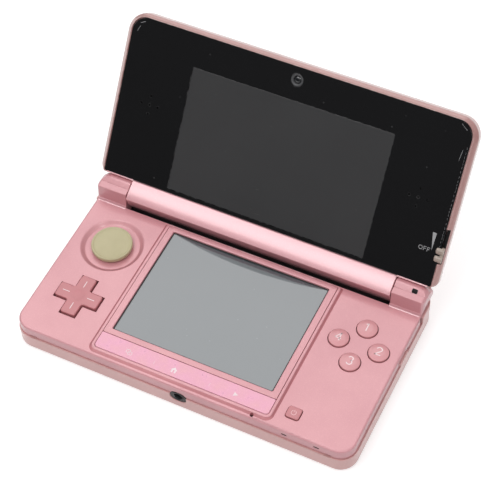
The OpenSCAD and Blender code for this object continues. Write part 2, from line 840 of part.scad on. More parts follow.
module key_strip_film() {
    d = strip_back - pocket_front - fit;
    color(strip_pink)
    intersection() {
        translate([0, pocket_front + fit + d, 0])
            block(pocket_w - 2 * fit, 2 * d, frame_r - frame_rim / 2, strip_pad_z + seat, film_t);
        span([-pocket_w, pocket_front, 0], [pocket_w, strip_back, base_t * 2]);
    }
}

module touch_panel() {
    color(glass_grey)
    translate([0, screen_y, 0])
        block(touch_w, touch_d, 0.4, base_t - touch_t, touch_t);
}

module touch_display() {
    tray_z = board_top + 0.4;
    tray_t = 0.6;
    color(soft_grey) {
        translate([0, screen_y, 0])
            block(touch_w, touch_d, 0.4, tray_z + tray_t - eps,
                base_t - touch_t - seat - tray_z - tray_t + eps);
        difference() {
            translate([0, screen_y, 0])
                block(touch_w + 2.4, touch_d + 1.6, 0.8, tray_z, tray_t);
            span([jack_x - jack_body_r - 0.4, front_y, 0],
                 [jack_x + jack_body_r + 0.4, front_y + jack_l + 0.4, base_t]);
        }
    }
}

// Keys under the strip

module strip_key(k) {
    color(key_rose)
    translate([k * strip_pitch, strip_y, 0]) {
        block(strip_key_w, strip_key_d, 0.7, flange_z, strip_pad_z - seat - flange_z);
        block(strip_key_w + 2 * flange_lip, strip_key_d + flange_lip, 0.7, flange_z, flange_t);
    }
}

module select_key() strip_key(-1);
module home_key() strip_key(0);
module start_key() strip_key(1);

// Circle pad

module circle_pad() {
    top = base_t + pad_proud;
    low = dish_floor + cap_gap;
    color(cap_beige)
    translate([pad_x, pad_y, 0]) {
        rotate_extrude()
            polygon([[0, slider_z + slider_t], [stem_r, slider_z + slider_t], [stem_r, low],
                     [pad_r - 0.8, low], [pad_r, low + 0.7], [pad_r, top - 0.35], [pad_r - 0.15, top - 0.1],
                     [pad_r - 0.5, top], [pad_r - 0.9, top - 0.06], [pad_r - 1.4, top - 0.35],
                     [pad_r * 0.5, top - 0.62], [0, top - 0.75]]);
        span([-pad_slot_w, -1, slider_z + 0.1], [pad_slot_w, 1, slider_z + slider_t + eps]);
    }
}

module pad_cross_slider() {
    color(tin)
    translate([pad_x, pad_y, 0])
        difference() {
            span([-pad_slider_w, -pad_slider_d, slider_z],
                 [pad_slider_w, pad_slider_d, slider_z + slider_t - 0.1]);
            span([-pad_slot_w - pad_travel - 0.2, -1.1, 0], [pad_slot_w + pad_travel + 0.2, 1.1, base_t]);
        }
}

module pad_tray() {
    inner_w = 2 * pad_slider_w + 0.2;
    inner_d = 2 * pad_slider_d + 2 * pad_travel + 0.2;
    top = dish_floor - dish_floor_t - 0.1;
    color(gloss_black)
    translate([pad_x, pad_y, 0])
        difference() {
            span([-inner_w / 2 - 1.2, -inner_d / 2 - 1.2, board_top + 0.05],
                 [inner_w / 2 + 1.2, inner_d / 2 + 1.2, top]);
            span([-inner_w / 2, -inner_d / 2, slider_z - 0.05], [inner_w / 2, inner_d / 2, base_t]);
        }
}

// Direction pad

module direction_pad() {
    top = base_t + cross_proud;
    color(key_rose)
    translate([cross_x, cross_y, 0])
        difference() {
            union() {
                translate([0, 0, cross_flange_z])
                    linear_extrude(top - cross_flange_z - 0.25)
                        cross_outline(0);
                translate([0, 0, cross_flange_z])
                    linear_extrude(top - cross_flange_z)
                        cross_outline(-0.25);
                translate([0, 0, cross_flange_z])
                    cylinder(r = cross_flange_r, h = flange_t);
            }
            translate([0, 0, top + 7.6])
                sphere(r = 8, $fn = 64);
        }
}

module direction_pad_rocker() {
    top = cross_flange_z - 0.15;
    color(tin)
    translate([cross_x, cross_y, 0]) {
        span([-1.5, -4.6, top - 0.45], [1.5, 4.6, top]);
        translate([0, 0, board_top + 0.12])
            cylinder(r = 1.2, h = top - 0.4 - board_top - 0.12);
    }
}

module left_membrane() {
    color(soft_grey)
    translate([cross_x, cross_y, 0])
        difference() {
            union() {
                block(cross_span + 2.7, cross_span + 1.7, 3, board_top + 0.05, sheet_t);
                for (a = [0 : 90 : 270])
                    rotate(a)
                        translate([cross_span / 2 - 1.9, 0, board_top + 0.05])
                            cylinder(r1 = 1.7, r2 = 1.2, h = sheet_t + 0.2);
            }
            translate([0, 0, board_top - 1])
                cylinder(r = 5.2, h = 3);
        }
}

// Face buttons

module right_membrane() {
    color(soft_grey)
    translate([keys_x, keys_y, 0]) {
        block(2 * keys_ring + 8, 2 * keys_ring + 8, 5, board_top + 0.05, sheet_t);
        for (a = [0 : 90 : 270])
            translate([keys_ring * cos(a), keys_ring * sin(a), board_top + 0.05])
                cylinder(r1 = 2.6, r2 = 2, h = sheet_t + dome_h);
    }
}

module face_button(a) {
    top = base_t + key_proud;
    color(key_rose)
    translate([keys_x + keys_ring * cos(a), keys_y + keys_ring * sin(a), 0])
        rotate_extrude()
            polygon([[0, flange_z], [key_r + flange_lip, flange_z],
                     [key_r + flange_lip, flange_z + flange_t],
                     [key_r, flange_z + flange_t], [key_r, top - 0.65], [key_r - 0.1, top - 0.45],
                     [key_r - 0.35, top - 0.28], [key_r * 0.6, top - 0.1], [0, top]]);
}

module button_east() face_button(0);
module button_north() face_button(90);
module button_west() face_button(180);
module button_south() face_button(270);

module power_button() {
    color(key_rose)
    translate([power_x, power_y, 0]) {
        block(power_w, power_d, 0.9, flange_z, base_t + 0.12 - flange_z);
        block(power_w - 0.4, power_d - 0.4, 0.8, flange_z, base_t + 0.25 - flange_z);
        block(power_w + 2 * flange_lip, power_d + 2 * flange_lip, 0.9, flange_z, flange_t);
    }
}

// Shoulder buttons and side switches

module shoulder_button(side) {
    out = shoulder_out;
    color(side_pink)
    mirror([side < 0 ? 1 : 0, 0, 0])
        difference() {
            union() {
                intersection() {
                    difference() {
                        block(2 * out, base_d - 0.4, base_r, shoulder_z, shoulder_h);
                        block(2 * (out - shoulder_t), base_d - 0.4 - 2 * shoulder_t,
                            base_r - shoulder_t, 0, base_t);
                    }
                    span([shoulder_pivot_x + 0.2, back_y - shoulder_side, 0], [out + 1, back_y + 1, base_t]);
                }
                translate([shoulder_pivot_x, shoulder_pivot_y, shoulder_z + 0.4])
                    cylinder(r = shoulder_hub_r, h = shoulder_h - 0.8);
                span([shoulder_pivot_x, shoulder_pivot_y + 0.1, shoulder_z + 0.4],
                     [shoulder_pivot_x + 3.4, back_y - 1, shoulder_z + shoulder_h - 0.4]);
            }
            translate([shoulder_pivot_x, shoulder_pivot_y, 0])
                cylinder(r = shoulder_pin_r + fit, h = base_t);
        }
}

module right_shoulder_button() shoulder_button(1);
module left_shoulder_button() shoulder_button(-1);

module shoulder_pivot_pins() {
    color(steel)
    for (x = [-1, 1])
        translate([x * shoulder_pivot_x, shoulder_pivot_y, shoulder_z - 0.9])
            cylinder(r = shoulder_pin_r, h = shoulder_h + 1.9);
}

module side_knob(side, y, l) {
    out = upper_x + switch_out;
    color(side_pink)
    mirror([side < 0 ? 1 : 0, 0, 0])
        translate([0, y, 0]) {
            span([out - switch_in, -l / 2, switch_z], [out - 0.5, l / 2, switch_z + switch_h]);
            for (k = [-2 : 2])
                span([out - 0.6, k * l / 5.4 - l / 14, switch_z],
                     [out, k * l / 5.4 + l / 14, switch_z + switch_h]);
            span([upper_x - wall_t - 1.2, -l / 2 - 1.2, switch_z - 0.4],
                 [upper_x - wall_t - 0.3, l / 2 + 1.2, switch_z + switch_h + 0.4]);
        }
}

module wireless_switch() side_knob(1, wireless_y, wireless_l);
module volume_slider() side_knob(-1, volume_y, volume_l);

// Memory card side

module memory_card_door() {
    color(side_pink)
    difference() {
        union() {
            span([-side_x + 0.05, sd_pin_y, sd_z],
                 [-side_x + 0.05 + sd_t, sd_y + sd_l / 2, sd_z + sd_h]);
            translate([sd_pin_x, sd_pin_y, sd_z])
                cylinder(r = sd_t / 2, h = sd_h);
        }
        translate([sd_pin_x, sd_pin_y, 0])
            cylinder(r = sd_pin_r + fit, h = base_t);
        span([-side_x - 1, sd_y + sd_l / 2 - 2, sd_z + sd_h / 2 - 0.7],
             [-side_x + 0.55, sd_y + sd_l / 2 - 0.8, sd_z + sd_h / 2 + 0.7]);
    }
}

module memory_card_hinge_pin() {
    color(steel)
    translate([sd_pin_x, sd_pin_y, sd_z - 0.75])
        cylinder(r = sd_pin_r, h = sd_h + 1.3);
}

module memory_card_socket() {
    w = sd_l - 2;
    x0 = -side_x + sd_t + 0.5;
    x1 = card_x - card_w / 2 - socket_side;
    color(steel)
    translate([0, sd_y + 1.2, 0])
        difference() {
            span([x0, -w / 2 + 1.6, floor_t + 0.05], [x1, w / 2, board_z - 0.1]);
            span([x0 - 1, -w / 2 + 2.2, sd_z + 0.2], [x1 - socket_wall, w / 2 - 0.6, sd_z + sd_h - 0.9]);
        }
}

// Connectors and small parts

module headphone_jack() {
    color(gloss_black)
    difference() {
        union() {
            translate([jack_x, front_y + 0.25, jack_z])
                rotate([-90, 0, 0])
                    linear_extrude(jack_shell_l - 0.25)
                        rounded(jack_body_w, 2 * jack_body_r, jack_body_r - eps);
            translate([jack_x, front_y + 0.25, jack_z])
                rotate([-90, 0, 0])
                    cylinder(r = jack_body_r, h = jack_l - 0.25);
        }
        translate([jack_x, front_y - 1, jack_z])
            rotate([-90, 0, 0])
                cylinder(r = jack_bore_r, h = jack_l - 0.5);
    }
}

module charging_connector() {
    y0 = back_y - wall_t - 5;
    color(gloss_black)
    difference() {
        span([port_x - port_w / 2 - 0.7, y0, floor_t + 0.05],
             [port_x + port_w / 2 + 0.7, back_y - wall_t - 0.05, inner_top]);
        difference() {
            span([port_x - port_w / 2, y0 + 1, port_z - port_h / 2],
                 [port_x + port_w / 2, back_y + 1, port_z + port_h / 2]);
            span([port_x - port_w / 2 + 1.5, y0, port_z - 0.35],
                 [port_x + port_w / 2 - 1.5, back_y - wall_t - 0.6, port_z + 0.35]);
        }
    }
}

module infrared_window() {
    color(gloss_black)
    span([ir_x - ir_w / 2, back_y - wall_t - 0.6, port_z - ir_h / 2],
         [ir_x + ir_w / 2, back_y - 0.1, port_z + ir_h / 2]);
}

module cradle_contacts() {
    color("gold")
    for (x = [-1, 1])
        span([contact_x + contact_out * x - contact_w / 2, back_y - 6, 0.15],
             [contact_x + contact_out * x + contact_w / 2, back_y - 3, floor_t + 0.4]);
}

module status_light_pipes() {
    color("white")
    for (k = [0, 1])
        translate([led_x + k * led_pitch, front_y, 0]) {
            span([-led_w / 2 + fit, 0.5, led_z - led_h / 2 + fit],
                 [led_w / 2 - fit, 4.6, led_z + led_h / 2 - fit]);
            span([-led_w / 2 + fit, 3.4, board_top + 0.05], [led_w / 2 - fit, 4.6, led_z]);
        }
}

module microphone() {
    color(steel)
    translate([mic_x + 0.9, front_y + frame_front + 1.4, board_top + 0.05])
        cylinder(r = 1.4, h = under_z - 0.3 - board_top);
}

module notification_place() {
    translate([ear_end - 4.15, axis_y - 0.72, axis_z + (ear_ledge_h + 0.3 + ear_crown_h - 0.32) / 2])
        rotate([atan2(ear_crown_h - ear_ledge_h - 0.62, 1.45), 0, 0])
            children();
}

module notification_seat() {
    notification_place()
        block(2.1, 1.7, 0.45, -1.25, 3);
}

module notification_light() {
    color(gloss_black)
    notification_place()
        block(2, 1.6, 0.4, -1.2, 1.15);
}

// Boards and power

module main_board() {
    w = 2 * (side_x - wall_t - shell_step - 2.2);
    y0 = front_y + wall_t + 1.6;
    y1 = trough_y - trough_skin - 0.5;
    color(board_green)
    difference() {
        translate([0, (y0 + y1) / 2, 0])
            block(w, y1 - y0, 2, board_z, board_t);
        for (b = bosses)
            translate([b.x, b.y, 0])
                cylinder(r = boss_r + 1, h = base_t);
        span([jack_x - jack_body_r - 0.5, front_y, 0],
             [jack_x + jack_body_r + 0.5, front_y + jack_l + 0.5, base_t]);
        for (x = [-1, 1])
            span([x > 0 ? shoulder_pivot_x - 3 : -side_x, back_y - 12.5, 0],
                 [x > 0 ? side_x : -shoulder_pivot_x + 3, back_y, base_t]);
        for (x = [-1, 1], y = [-1, 1])
            translate([x * (frame_w / 2 + board_hole_out), screen_y + y * (win_h / 2 - board_hole_in), 0])
                cylinder(r = 1.2, h = base_t);
    }
}

module tact_switches() {
    color(steel) {
        translate([power_x, power_y, 0])
            block(power_switch_w, power_switch_w, 0.4, board_top + 0.02, 0.55);
        for (k = [-1 : 1])
            translate([k * strip_pitch, strip_y, 0])
                translate([-strip_switch_x, 0, 0])
                    block(strip_switch_w, 3, 0.4, board_top + 0.02, 0.9);
    }
}

module processor_shield() {
    color(steel)
    span([stylus_x + stylus_r + shield_side, battery_y + battery_l / 2 - shield_lap, board_z - shield_h],
         [side_x - board_side, trough_y - 3.05, board_z - seat]);
}

module radio_module() {
    color(tin)
    span([stylus_x + stylus_r + radio_side, front_y + radio_front, board_z - radio_h],
         [side_x - board_side, front_y + radio_front + radio_d, board_z - seat]);
}

module battery() {
    color([0.25, 0.25, 0.28])
    translate([battery_x, battery_y, 0])
        block(battery_w, battery_l, 2, floor_t + 0.03, battery_t);
}

module game_card_reader() {
    x0 = card_x - card_w / 2;
    x1 = card_x + card_w / 2;
    y1 = back_y - wall_t - 0.1;
    top = min(card_z + card_h, inner_top);
    color(steel)
    difference() {
        span([x0 - card_skin, card_y - reader_wall, floor_t + seat], [x1 + card_skin, y1, top]);
        span([x0, card_y, card_z], [x1, y1 + 1, top + 1]);
    }
}

// Stylus, stored at the back

module stylus_barrel() {
    rod_r = stylus_r - 0.5;
    color(gloss_black)
    translate([stylus_x, back_y - 0.2, stylus_z])
        rotate([90, 0, 0])
            difference() {
                union() {
                    cylinder(r = stylus_r, h = stylus_l * 0.62);
                    translate([0, 0, 0])
                        cylinder(r1 = stylus_r - 0.3, r2 = stylus_r, h = 1);
                }
                translate([0, 0, 9])
                    cylinder(r = rod_r + fit, h = stylus_l);
            }
}

module stylus_rod() {
    rod_r = stylus_r - 0.5;
    end = stylus_l * 0.62 + 0.3;
    color(steel)
    translate([stylus_x, back_y - 0.2, stylus_z])
        rotate([90, 0, 0])
            rotate_extrude()
                polygon([[0, 10], [rod_r, 10], [rod_r, end], [stylus_r, end], [stylus_r, stylus_l - 9],
                         [stylus_r - 0.35, stylus_l - 4], [0.9, stylus_l - 1.2], [0.5, stylus_l - 0.5],
                         [0, stylus_l - 0.35]]);
}

module cover_screws() {
    color(steel)
    for (b = bosses)
        translate([b.x, b.y, 0])
            difference() {
                union() {
                    translate([0, 0, 0.4])
                        cylinder(r = screw_head_r, h = head_deep - 0.45);
                    translate([0, 0, 0.4])
                        cylinder(r = screw_r, h = under_z - 0.9);
                }
                for (a = [0, 90])
                    rotate(a)
                        span([-1.1, -0.22, 0], [1.1, 0.22, 1.1]);
            }
}

// Hinge hardware

module click_cartridge() {
    color(steel)
    difference() {
        axis_bar(cartridge_r, ear_in + 0.02, ear_in + cartridge_l);
        axis_bar(pin_r + pin_run, ear_in - 1, ear_in + cartridge_l - 1.2);
    }
}

module cam_shaft() {
    color(tin)
    difference() {
        axis_bar(pin_r, barrel_l / 2 - barrel_plug + 0.5, ear_in + cartridge_l - 1.6);
        axis_bar(0.6, barrel_l / 2 - barrel_plug, ear_in + cartridge_l - 3);
    }
}

module hinge_bush() {
    color(tin)
    difference() {
        axis_bar(cartridge_r, -ear_in - bush_l, -ear_in - 0.02);
        axis_bar(pin_r + pin_run, -ear_in - bush_l - 1, -ear_in + 1);
    }
}

module hinge_pin() {
    color(steel)
    difference() {
        axis_bar(pin_r, -ear_in - bush_l + 0.4, -barrel_l / 2 + barrel_plug - 0.5);
        axis_bar(pin_r - 0.6, -ear_in - bush_l, -barrel_l / 2 + barrel_plug);
    }
}

// Lid

module lid_corners(profile_at, w, v0, v1, r0, r1) {
    hull()
        for (x = [-1, 1], e = [0, 1]) {
            r = e == 0 ? r0 : r1;
            translate([x * (w / 2 - r), e == 0 ? v0 + r : v1 - r, 0])
                rotate_extrude($fn = hull_fn)
                    polygon([for (p = profile_at) [max(p.x + r, 0), p.y]]);
        }
}

// Rounded plan of the lid with its own radii over the ears and at the free edge
module lid_plan(w, v0, v1, r0, r1) {
    translate([0, (v0 + v1) / 2])
        square([w, v1 - v0 - 2 * r1], center = true);
    translate([-w / 2 + r1, v0 + 2 * r0])
        square([w - 2 * r1, v1 - v0 - 2 * r0]);
    translate([-w / 2 + r0, v0])
        square([w - 2 * r0, 3 * r1]);
    for (x = [-1, 1]) {
        translate([x * (w / 2 - r1), v1 - r1])
            circle(r = r1);
        translate([x * (w / 2 - r0), v0 + r0])
            circle(r = r0);
        translate([x > 0 ? w / 2 - 2 * r1 : -w / 2, v0 + r0])
            square([2 * r1, 2 * r1]);
    }
}

module barrel_front() {
    top = panel_m + ridge_up;
    polygon([[ridge_v + 0.5, lid_part_m], [ridge_v + 0.5, panel_m - 0.1], [ridge_v + 0.15, top - 0.2],
             [ridge_v - 0.15, top + 0.05], [2.4, crease_h - 1.1], [-0.4, crease_h - 0.05], [-0.8, crease_h],
             [-1.2, crease_h - 0.1], [-4, 2.5], [-5.5, -1], [-6.1, lid_part_m]]);
}

// Lip of the lid over each ear
module low_lip() {
    for (x = [-1, 1])
        along_x(x > 0 ? barrel_l / 2 : -lid_w / 2 + 3, x > 0 ? lid_w / 2 - 3 : -barrel_l / 2)
            polygon([[lid_low, -0.6], [lid_low, panel_m - 0.1], [lid_low + 0.1, lip_m],
                     [panel_low - fit, lip_m], [panel_low - fit, -0.6]]);
}

module rail_window() {
    span([rail_in, lid_low - 2, web_m - web_t], [lid_w / 2 + 1, slot_top_v, panel_m + 2]);
    span([rail_in - 4.5, knob_v - tongue_l / 2 - 0.2, lid_part_m - 1],
         [rail_in + 0.1, knob_v + tongue_l / 2 + knob_travel + 0.2, tongue_m + tongue_t + 0.1]);
}

module lid_frame() {
    lip = -rail_slope;
    color(shell_pink)
    on_lid()
        difference() {
            union() {
                lid_corners([[-100, lid_part_m], [-0.05, lid_part_m], [0, panel_m - 1.6],
                             [lip * 0.35, panel_m - 0.7], [lip + 0.1, lip_m], [-100, lip_m]],
                            lid_w, lid_low, lid_reach, lid_low_r, lid_r);
                along_x(-barrel_l / 2, barrel_l / 2)
                    barrel_front();
                low_lip();
            }
            translate([0, 0, web_m])
                linear_extrude(10)
                    lid_plan(panel_w + 2 * fit, panel_low - fit, panel_top + fit, 0.8, panel_r);
            translate([0, 0, lid_part_m - 1])
                linear_extrude(web_m - web_t - lid_part_m + 1)
                    lid_plan(lid_w - 2 * rail_w, lid_low + 3.4, lid_reach - 2.2, 1, lid_r - 2);
            translate([0, top_win_v, -10])
                linear_extrude(20)
                    square([top_win_w + 2.6, top_win_h + 2], center = true);
            translate([0, inner_cam_v, -10])
                cylinder(r = inner_cam_r + 0.6, h = 20);
            for (s = [-1, 1])
                translate([s * speaker_x, speaker_v, -10])
                    cylinder(r = speaker_pitch + speaker_hole_r + 0.6, h = 20);
            rotate([0, 90, 0])
                translate([0, 0, -barrel_l / 2 + barrel_plug])
                    cylinder(r = barrel_bore_r, h = barrel_l - 2 * barrel_plug);
            rotate([0, 90, 0])
                translate([0, 0, -barrel_l])
                    cylinder(r = pin_r + 0.02, h = 2 * barrel_l);
            span([-ribbon_w / 2 - 1, 1, -3.4], [ribbon_w / 2 + 1, lid_low + 4.5, web_m - web_t - 0.1]);
            rail_window();
        }
}

module lid_cover() {
    z0 = lid_part_m - lid_gap;
    color(side_pink)
    on_lid()
        difference() {
            union() {
                lid_corners([[-100, z0], [-0.15, z0], [-0.6, lid_back_m + 1.9],
                             [-lid_back_r * 0.55, lid_back_m + 0.5], [-lid_back_r, lid_back_m],
                             [-100, lid_back_m]],
                            lid_w, lid_low, lid_reach, lid_low_r, lid_r);
                intersection() {
                    rotate([0, 90, 0])
                        translate([0, 0, -barrel_l / 2])
                            cylinder(r = barrel_r, h = barrel_l, $fn = 96);
                    span([-barrel_l / 2, -10, -10], [barrel_l / 2, 10, z0]);
                }
                span([-barrel_l / 2, 0, lid_back_m], [barrel_l / 2, lid_low + lid_back_r + 1, z0]);
            }
            translate([0, 0, lid_back_m + lid_skin])
                linear_extrude(10)
                    lid_plan(lid_w - 2 * (lid_back_r + 0.6), lid_low + 3.4, lid_reach - 3, 1, lid_r - 2.5);
            rotate([0, 90, 0])
                translate([0, 0, -barrel_l / 2 + barrel_plug])
                    cylinder(r = barrel_bore_r, h = barrel_l - 2 * barrel_plug);
            for (x = [-1, 1])
                translate([x * outer_cam_x, outer_cam_v, lid_back_m - 1])
                    cylinder(r = outer_cam_r + fit, h = 4);
            span([-ribbon_w / 2 - 1, 1, -3.4], [ribbon_w / 2 + 1, lid_low + 4.5, z0 + 1]);
        }
}

module front_panel() {
    color(gloss_black)
    on_lid()
        difference() {
            translate([0, 0, web_m + seat])
                linear_extrude(panel_t)
                    lid_plan(panel_w, panel_low, panel_top, 0.8, panel_r);
            translate([0, top_win_v, -5])
                linear_extrude(10)
                    square([top_win_w, top_win_h], center = true);
            translate([0, inner_cam_v, -5])
                cylinder(r = inner_cam_r + fit, h = 10);
            for (s = [-1, 1], p = [[0, 0], [1, 0], [-1, 0], [0, 1], [0, -1]])
                translate([s * speaker_x + p.x * speaker_pitch, speaker_v + p.y * speaker_pitch, -5])
                    cylinder(r = speaker_hole_r, h = 10, $fn = 24);
        }
}

module upper_display() {
    color([0.24, 0.24, 0.25])
    on_lid() {
        translate([0, top_win_v, web_m - top_disp_t])
            linear_extrude(top_disp_t - seat)
                square([top_win_w + 2, top_win_h + 1.4], center = true);
        translate([0, top_win_v, web_m - 0.5])
            linear_extrude(panel_t + 0.45)
                square([top_win_w - 2 * fit, top_win_h - 2 * fit], center = true);
    }
}

module inner_camera() {
    color(gloss_black)
    on_lid()
        translate([0, inner_cam_v, 0]) {
            translate([0, 0, web_m - web_t - 0.8])
                cylinder(r = inner_cam_r, h = panel_m - 0.25 - web_m + web_t + 0.8);
            span([-cam_box, -cam_box, web_m - web_t - speaker_t - 0.1],
                 [cam_box, cam_box - 0.6, web_m - web_t - 0.1]);
        }
}

module stereo_cameras() {
    color(gloss_black)
    on_lid()
        for (x = [-1, 1])
            translate([x * outer_cam_x, outer_cam_v, lid_back_m + 0.95]) {
                cylinder(r = outer_cam_r - 0.6, h = 2.2);
                translate([0, 0, 0.5])
                    cylinder(r = outer_cam_r + 1, h = 1.7);
            }
}

module camera_windows() {
    color(glass_grey)
    on_lid()
        for (x = [-1, 1])
            translate([x * outer_cam_x, outer_cam_v, lid_back_m + 0.12])
                cylinder(r = outer_cam_r, h = 0.8);
}

module speakers() {
    color(soft_grey)
    on_lid()
        for (s = [-1, 1])
            translate([s * speaker_x, speaker_v, 0]) {
                block(speaker_w, speaker_d, 2, web_m - web_t - speaker_t - 0.1, speaker_t);
                translate([0, 0, web_m - web_t - 0.2])
                    cylinder(r = speaker_pitch + speaker_hole_r + 0.4, h = web_t + 0.1);
            }
}

// Depth slider in the right rail

module depth_slider() {
    color(cap_beige)
    on_lid() {
        for (k = [-1, 1])
            translate([knob_x, knob_v + k * knob_l / 4, panel_m - 0.75])
                rotate([0, 90, 0])
                    cylinder(r = knob_l / 4 - 0.03, h = knob_w);
        span([knob_x, knob_v - knob_l / 4, tongue_m],
             [knob_x + knob_w - 0.1, knob_v + knob_l / 4, panel_m - 0.1]);
        span([rail_in - tongue_in, knob_v - tongue_l / 2, tongue_m],
             [knob_x + 0.5, knob_v + tongue_l / 2, tongue_m + tongue_t]);
    }
}

module slider_board() {
    color(board_green)
    on_lid()
        translate([rail_in - slider_board_in, 0, tongue_m])
            span([0, knob_v - knob_l, -1], [slider_board_w, knob_v + knob_l + knob_travel, -0.25]);
}

module display_ribbon() {
    color("darkorange")
    on_lid()
        difference() {
            union() {
                rotate([0, 90, 0])
                    translate([0, 0, -ribbon_w / 2])
                        cylinder(r = barrel_bore_r - 0.15, h = ribbon_w);
                span([-ribbon_w / 2, 0.6, -3.2], [ribbon_w / 2, lid_low + 3.6, -2.95]);
            }
            rotate([0, 90, 0])
                translate([0, 0, -ribbon_w])
                    cylinder(r = barrel_bore_r - 0.75, h = 2 * ribbon_w);
        }
}

lower_shell();
upper_shell();
screen_surround();
key_strip_film();
touch_panel();
touch_display();
select_key();
home_key();
start_key();
circle_pad();
pad_cross_slider();
pad_tray();
direction_pad();
direction_pad_rocker();
left_membrane();
right_membrane();
button_north();
button_east();
button_south();
button_west();
power_button();
left_shoulder_button();
right_shoulder_button();
shoulder_pivot_pins();
wireless_switch();
volume_slider();
memory_card_door();
memory_card_hinge_pin();
memory_card_socket();
headphone_jack();
charging_connector();
infrared_window();
cradle_contacts();
status_light_pipes();
microphone();
notification_light();
main_board();
tact_switches();
processor_shield();
radio_module();
battery();
game_card_reader();
stylus_barrel();
stylus_rod();
cover_screws();
click_cartridge();
hinge_bush();
cam_shaft();
hinge_pin();
lid_frame();
lid_cover();
front_panel();
upper_display();
inner_camera();
stereo_cameras();
camera_windows();
speakers();
depth_slider();
slider_board();
display_ribbon();
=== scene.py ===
"""Clamshell handheld game console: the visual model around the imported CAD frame.

Each sub-assembly is a class that makes its meshes in millimetres in the CAD's own frame, gives them
their finishes and lets them ride on the CAD bodies. Lid pieces are drawn in the lid's frame, with the
hinge axis at its origin, and are then turned to the open place.
"""

from __future__ import annotations

import json
import logging
import math
from dataclasses import dataclass
from enum import Enum
from functools import cache
from typing import ClassVar, Sequence, Union

import bmesh
import bpy
from mathutils import Matrix, Vector


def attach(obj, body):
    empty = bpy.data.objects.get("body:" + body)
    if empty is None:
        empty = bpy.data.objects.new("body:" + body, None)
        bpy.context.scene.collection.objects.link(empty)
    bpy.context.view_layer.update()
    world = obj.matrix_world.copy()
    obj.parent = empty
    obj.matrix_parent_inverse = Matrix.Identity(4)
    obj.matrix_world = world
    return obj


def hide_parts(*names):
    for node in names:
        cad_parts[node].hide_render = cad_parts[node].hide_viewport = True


logging.basicConfig(level=logging.INFO, format="%(name)s: %(message)s")
LOG = logging.getLogger("console")

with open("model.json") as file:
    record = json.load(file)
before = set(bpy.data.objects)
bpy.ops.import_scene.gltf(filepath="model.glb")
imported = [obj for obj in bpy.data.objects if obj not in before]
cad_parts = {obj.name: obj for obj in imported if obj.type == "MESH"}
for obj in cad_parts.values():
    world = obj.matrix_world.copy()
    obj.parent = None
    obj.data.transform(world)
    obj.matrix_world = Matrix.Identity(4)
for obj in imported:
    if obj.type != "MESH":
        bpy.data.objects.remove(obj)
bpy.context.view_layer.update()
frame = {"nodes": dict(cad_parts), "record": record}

MM = 0.001
HINGE = Vector((0.0, 29.95, 14.3))
LID = Matrix.Translation(HINGE) @ Matrix.Rotation(math.radians(55.0), 4, "X")
Point = tuple[float, float]
Pair = tuple[float, float]
Ring = list[Vector]


class Body(str, Enum):
    """Names of the CAD bodies that pieces ride on."""

    BASE = "base"
    LID = "lid"
    DEPTH = "depth_knob"
    PAD = "pad_cap"
    CROSS = "cross_cap"
    NORTH = "north_cap"
    EAST = "east_cap"
    SOUTH = "south_cap"
    WEST = "west_cap"
    POWER = "power_cap"
    LEFT_SHOULDER = "left_shoulder"
    RIGHT_SHOULDER = "right_shoulder"
    WIRELESS = "wireless_knob"
    VOLUME = "volume_knob"
    DOOR = "card_door"
    PEN = "pen_barrel"


ROUND_BUTTONS = {"north": (Body.NORTH, (49.95, 12.45)), "east": (Body.EAST, (57.45, 4.95)),
                 "south": (Body.SOUTH, (49.95, -2.55)), "west": (Body.WEST, (42.45, 4.95))}
PAD_AT = (-49.25, 7.95)
CROSS_AT = (-49.0, -17.1)
CROSS_SPAN, CROSS_ARM, CROSS_TOP = 16.9, 5.9, 12.3
POWER_AT = (41.15, -28.85)
POWER_TOP = 11.95
BUTTON_TOP = 12.42
STRIP_TOP = 12.07
PANEL_TOP = 1.3
STATUS_LIGHTS_X = (40.85, 52.75)
STRAP_SLOTS_X = (-57, 57)
STRIP_KEYS_X = (-20.6, 0.0, 20.6)
TOUCH_AT = (0, -1.1)
MICROPHONE_AT = (28.5, -35.3)
DOOR_PIN_AT = (-64.65, 2.1)
SHOULDER_PIN = (55.3, 33.7)
SHOULDER_ARC = (59.2, 30.3)
JACK_AT = (0.8, 5.95)
STYLUS_AT = (13.5, 3.9)
INNER_CAMERA_AT = (0, 61.4)
OUTER_CAMERAS_X = (-17.5, 17.5)
OUTER_CAMERAS_Y = 54.0
UPPER_SCREEN_AT = (0, 30.7)


# Shader graphs

Feed = Union[bpy.types.NodeSocket, float, Sequence[float]]


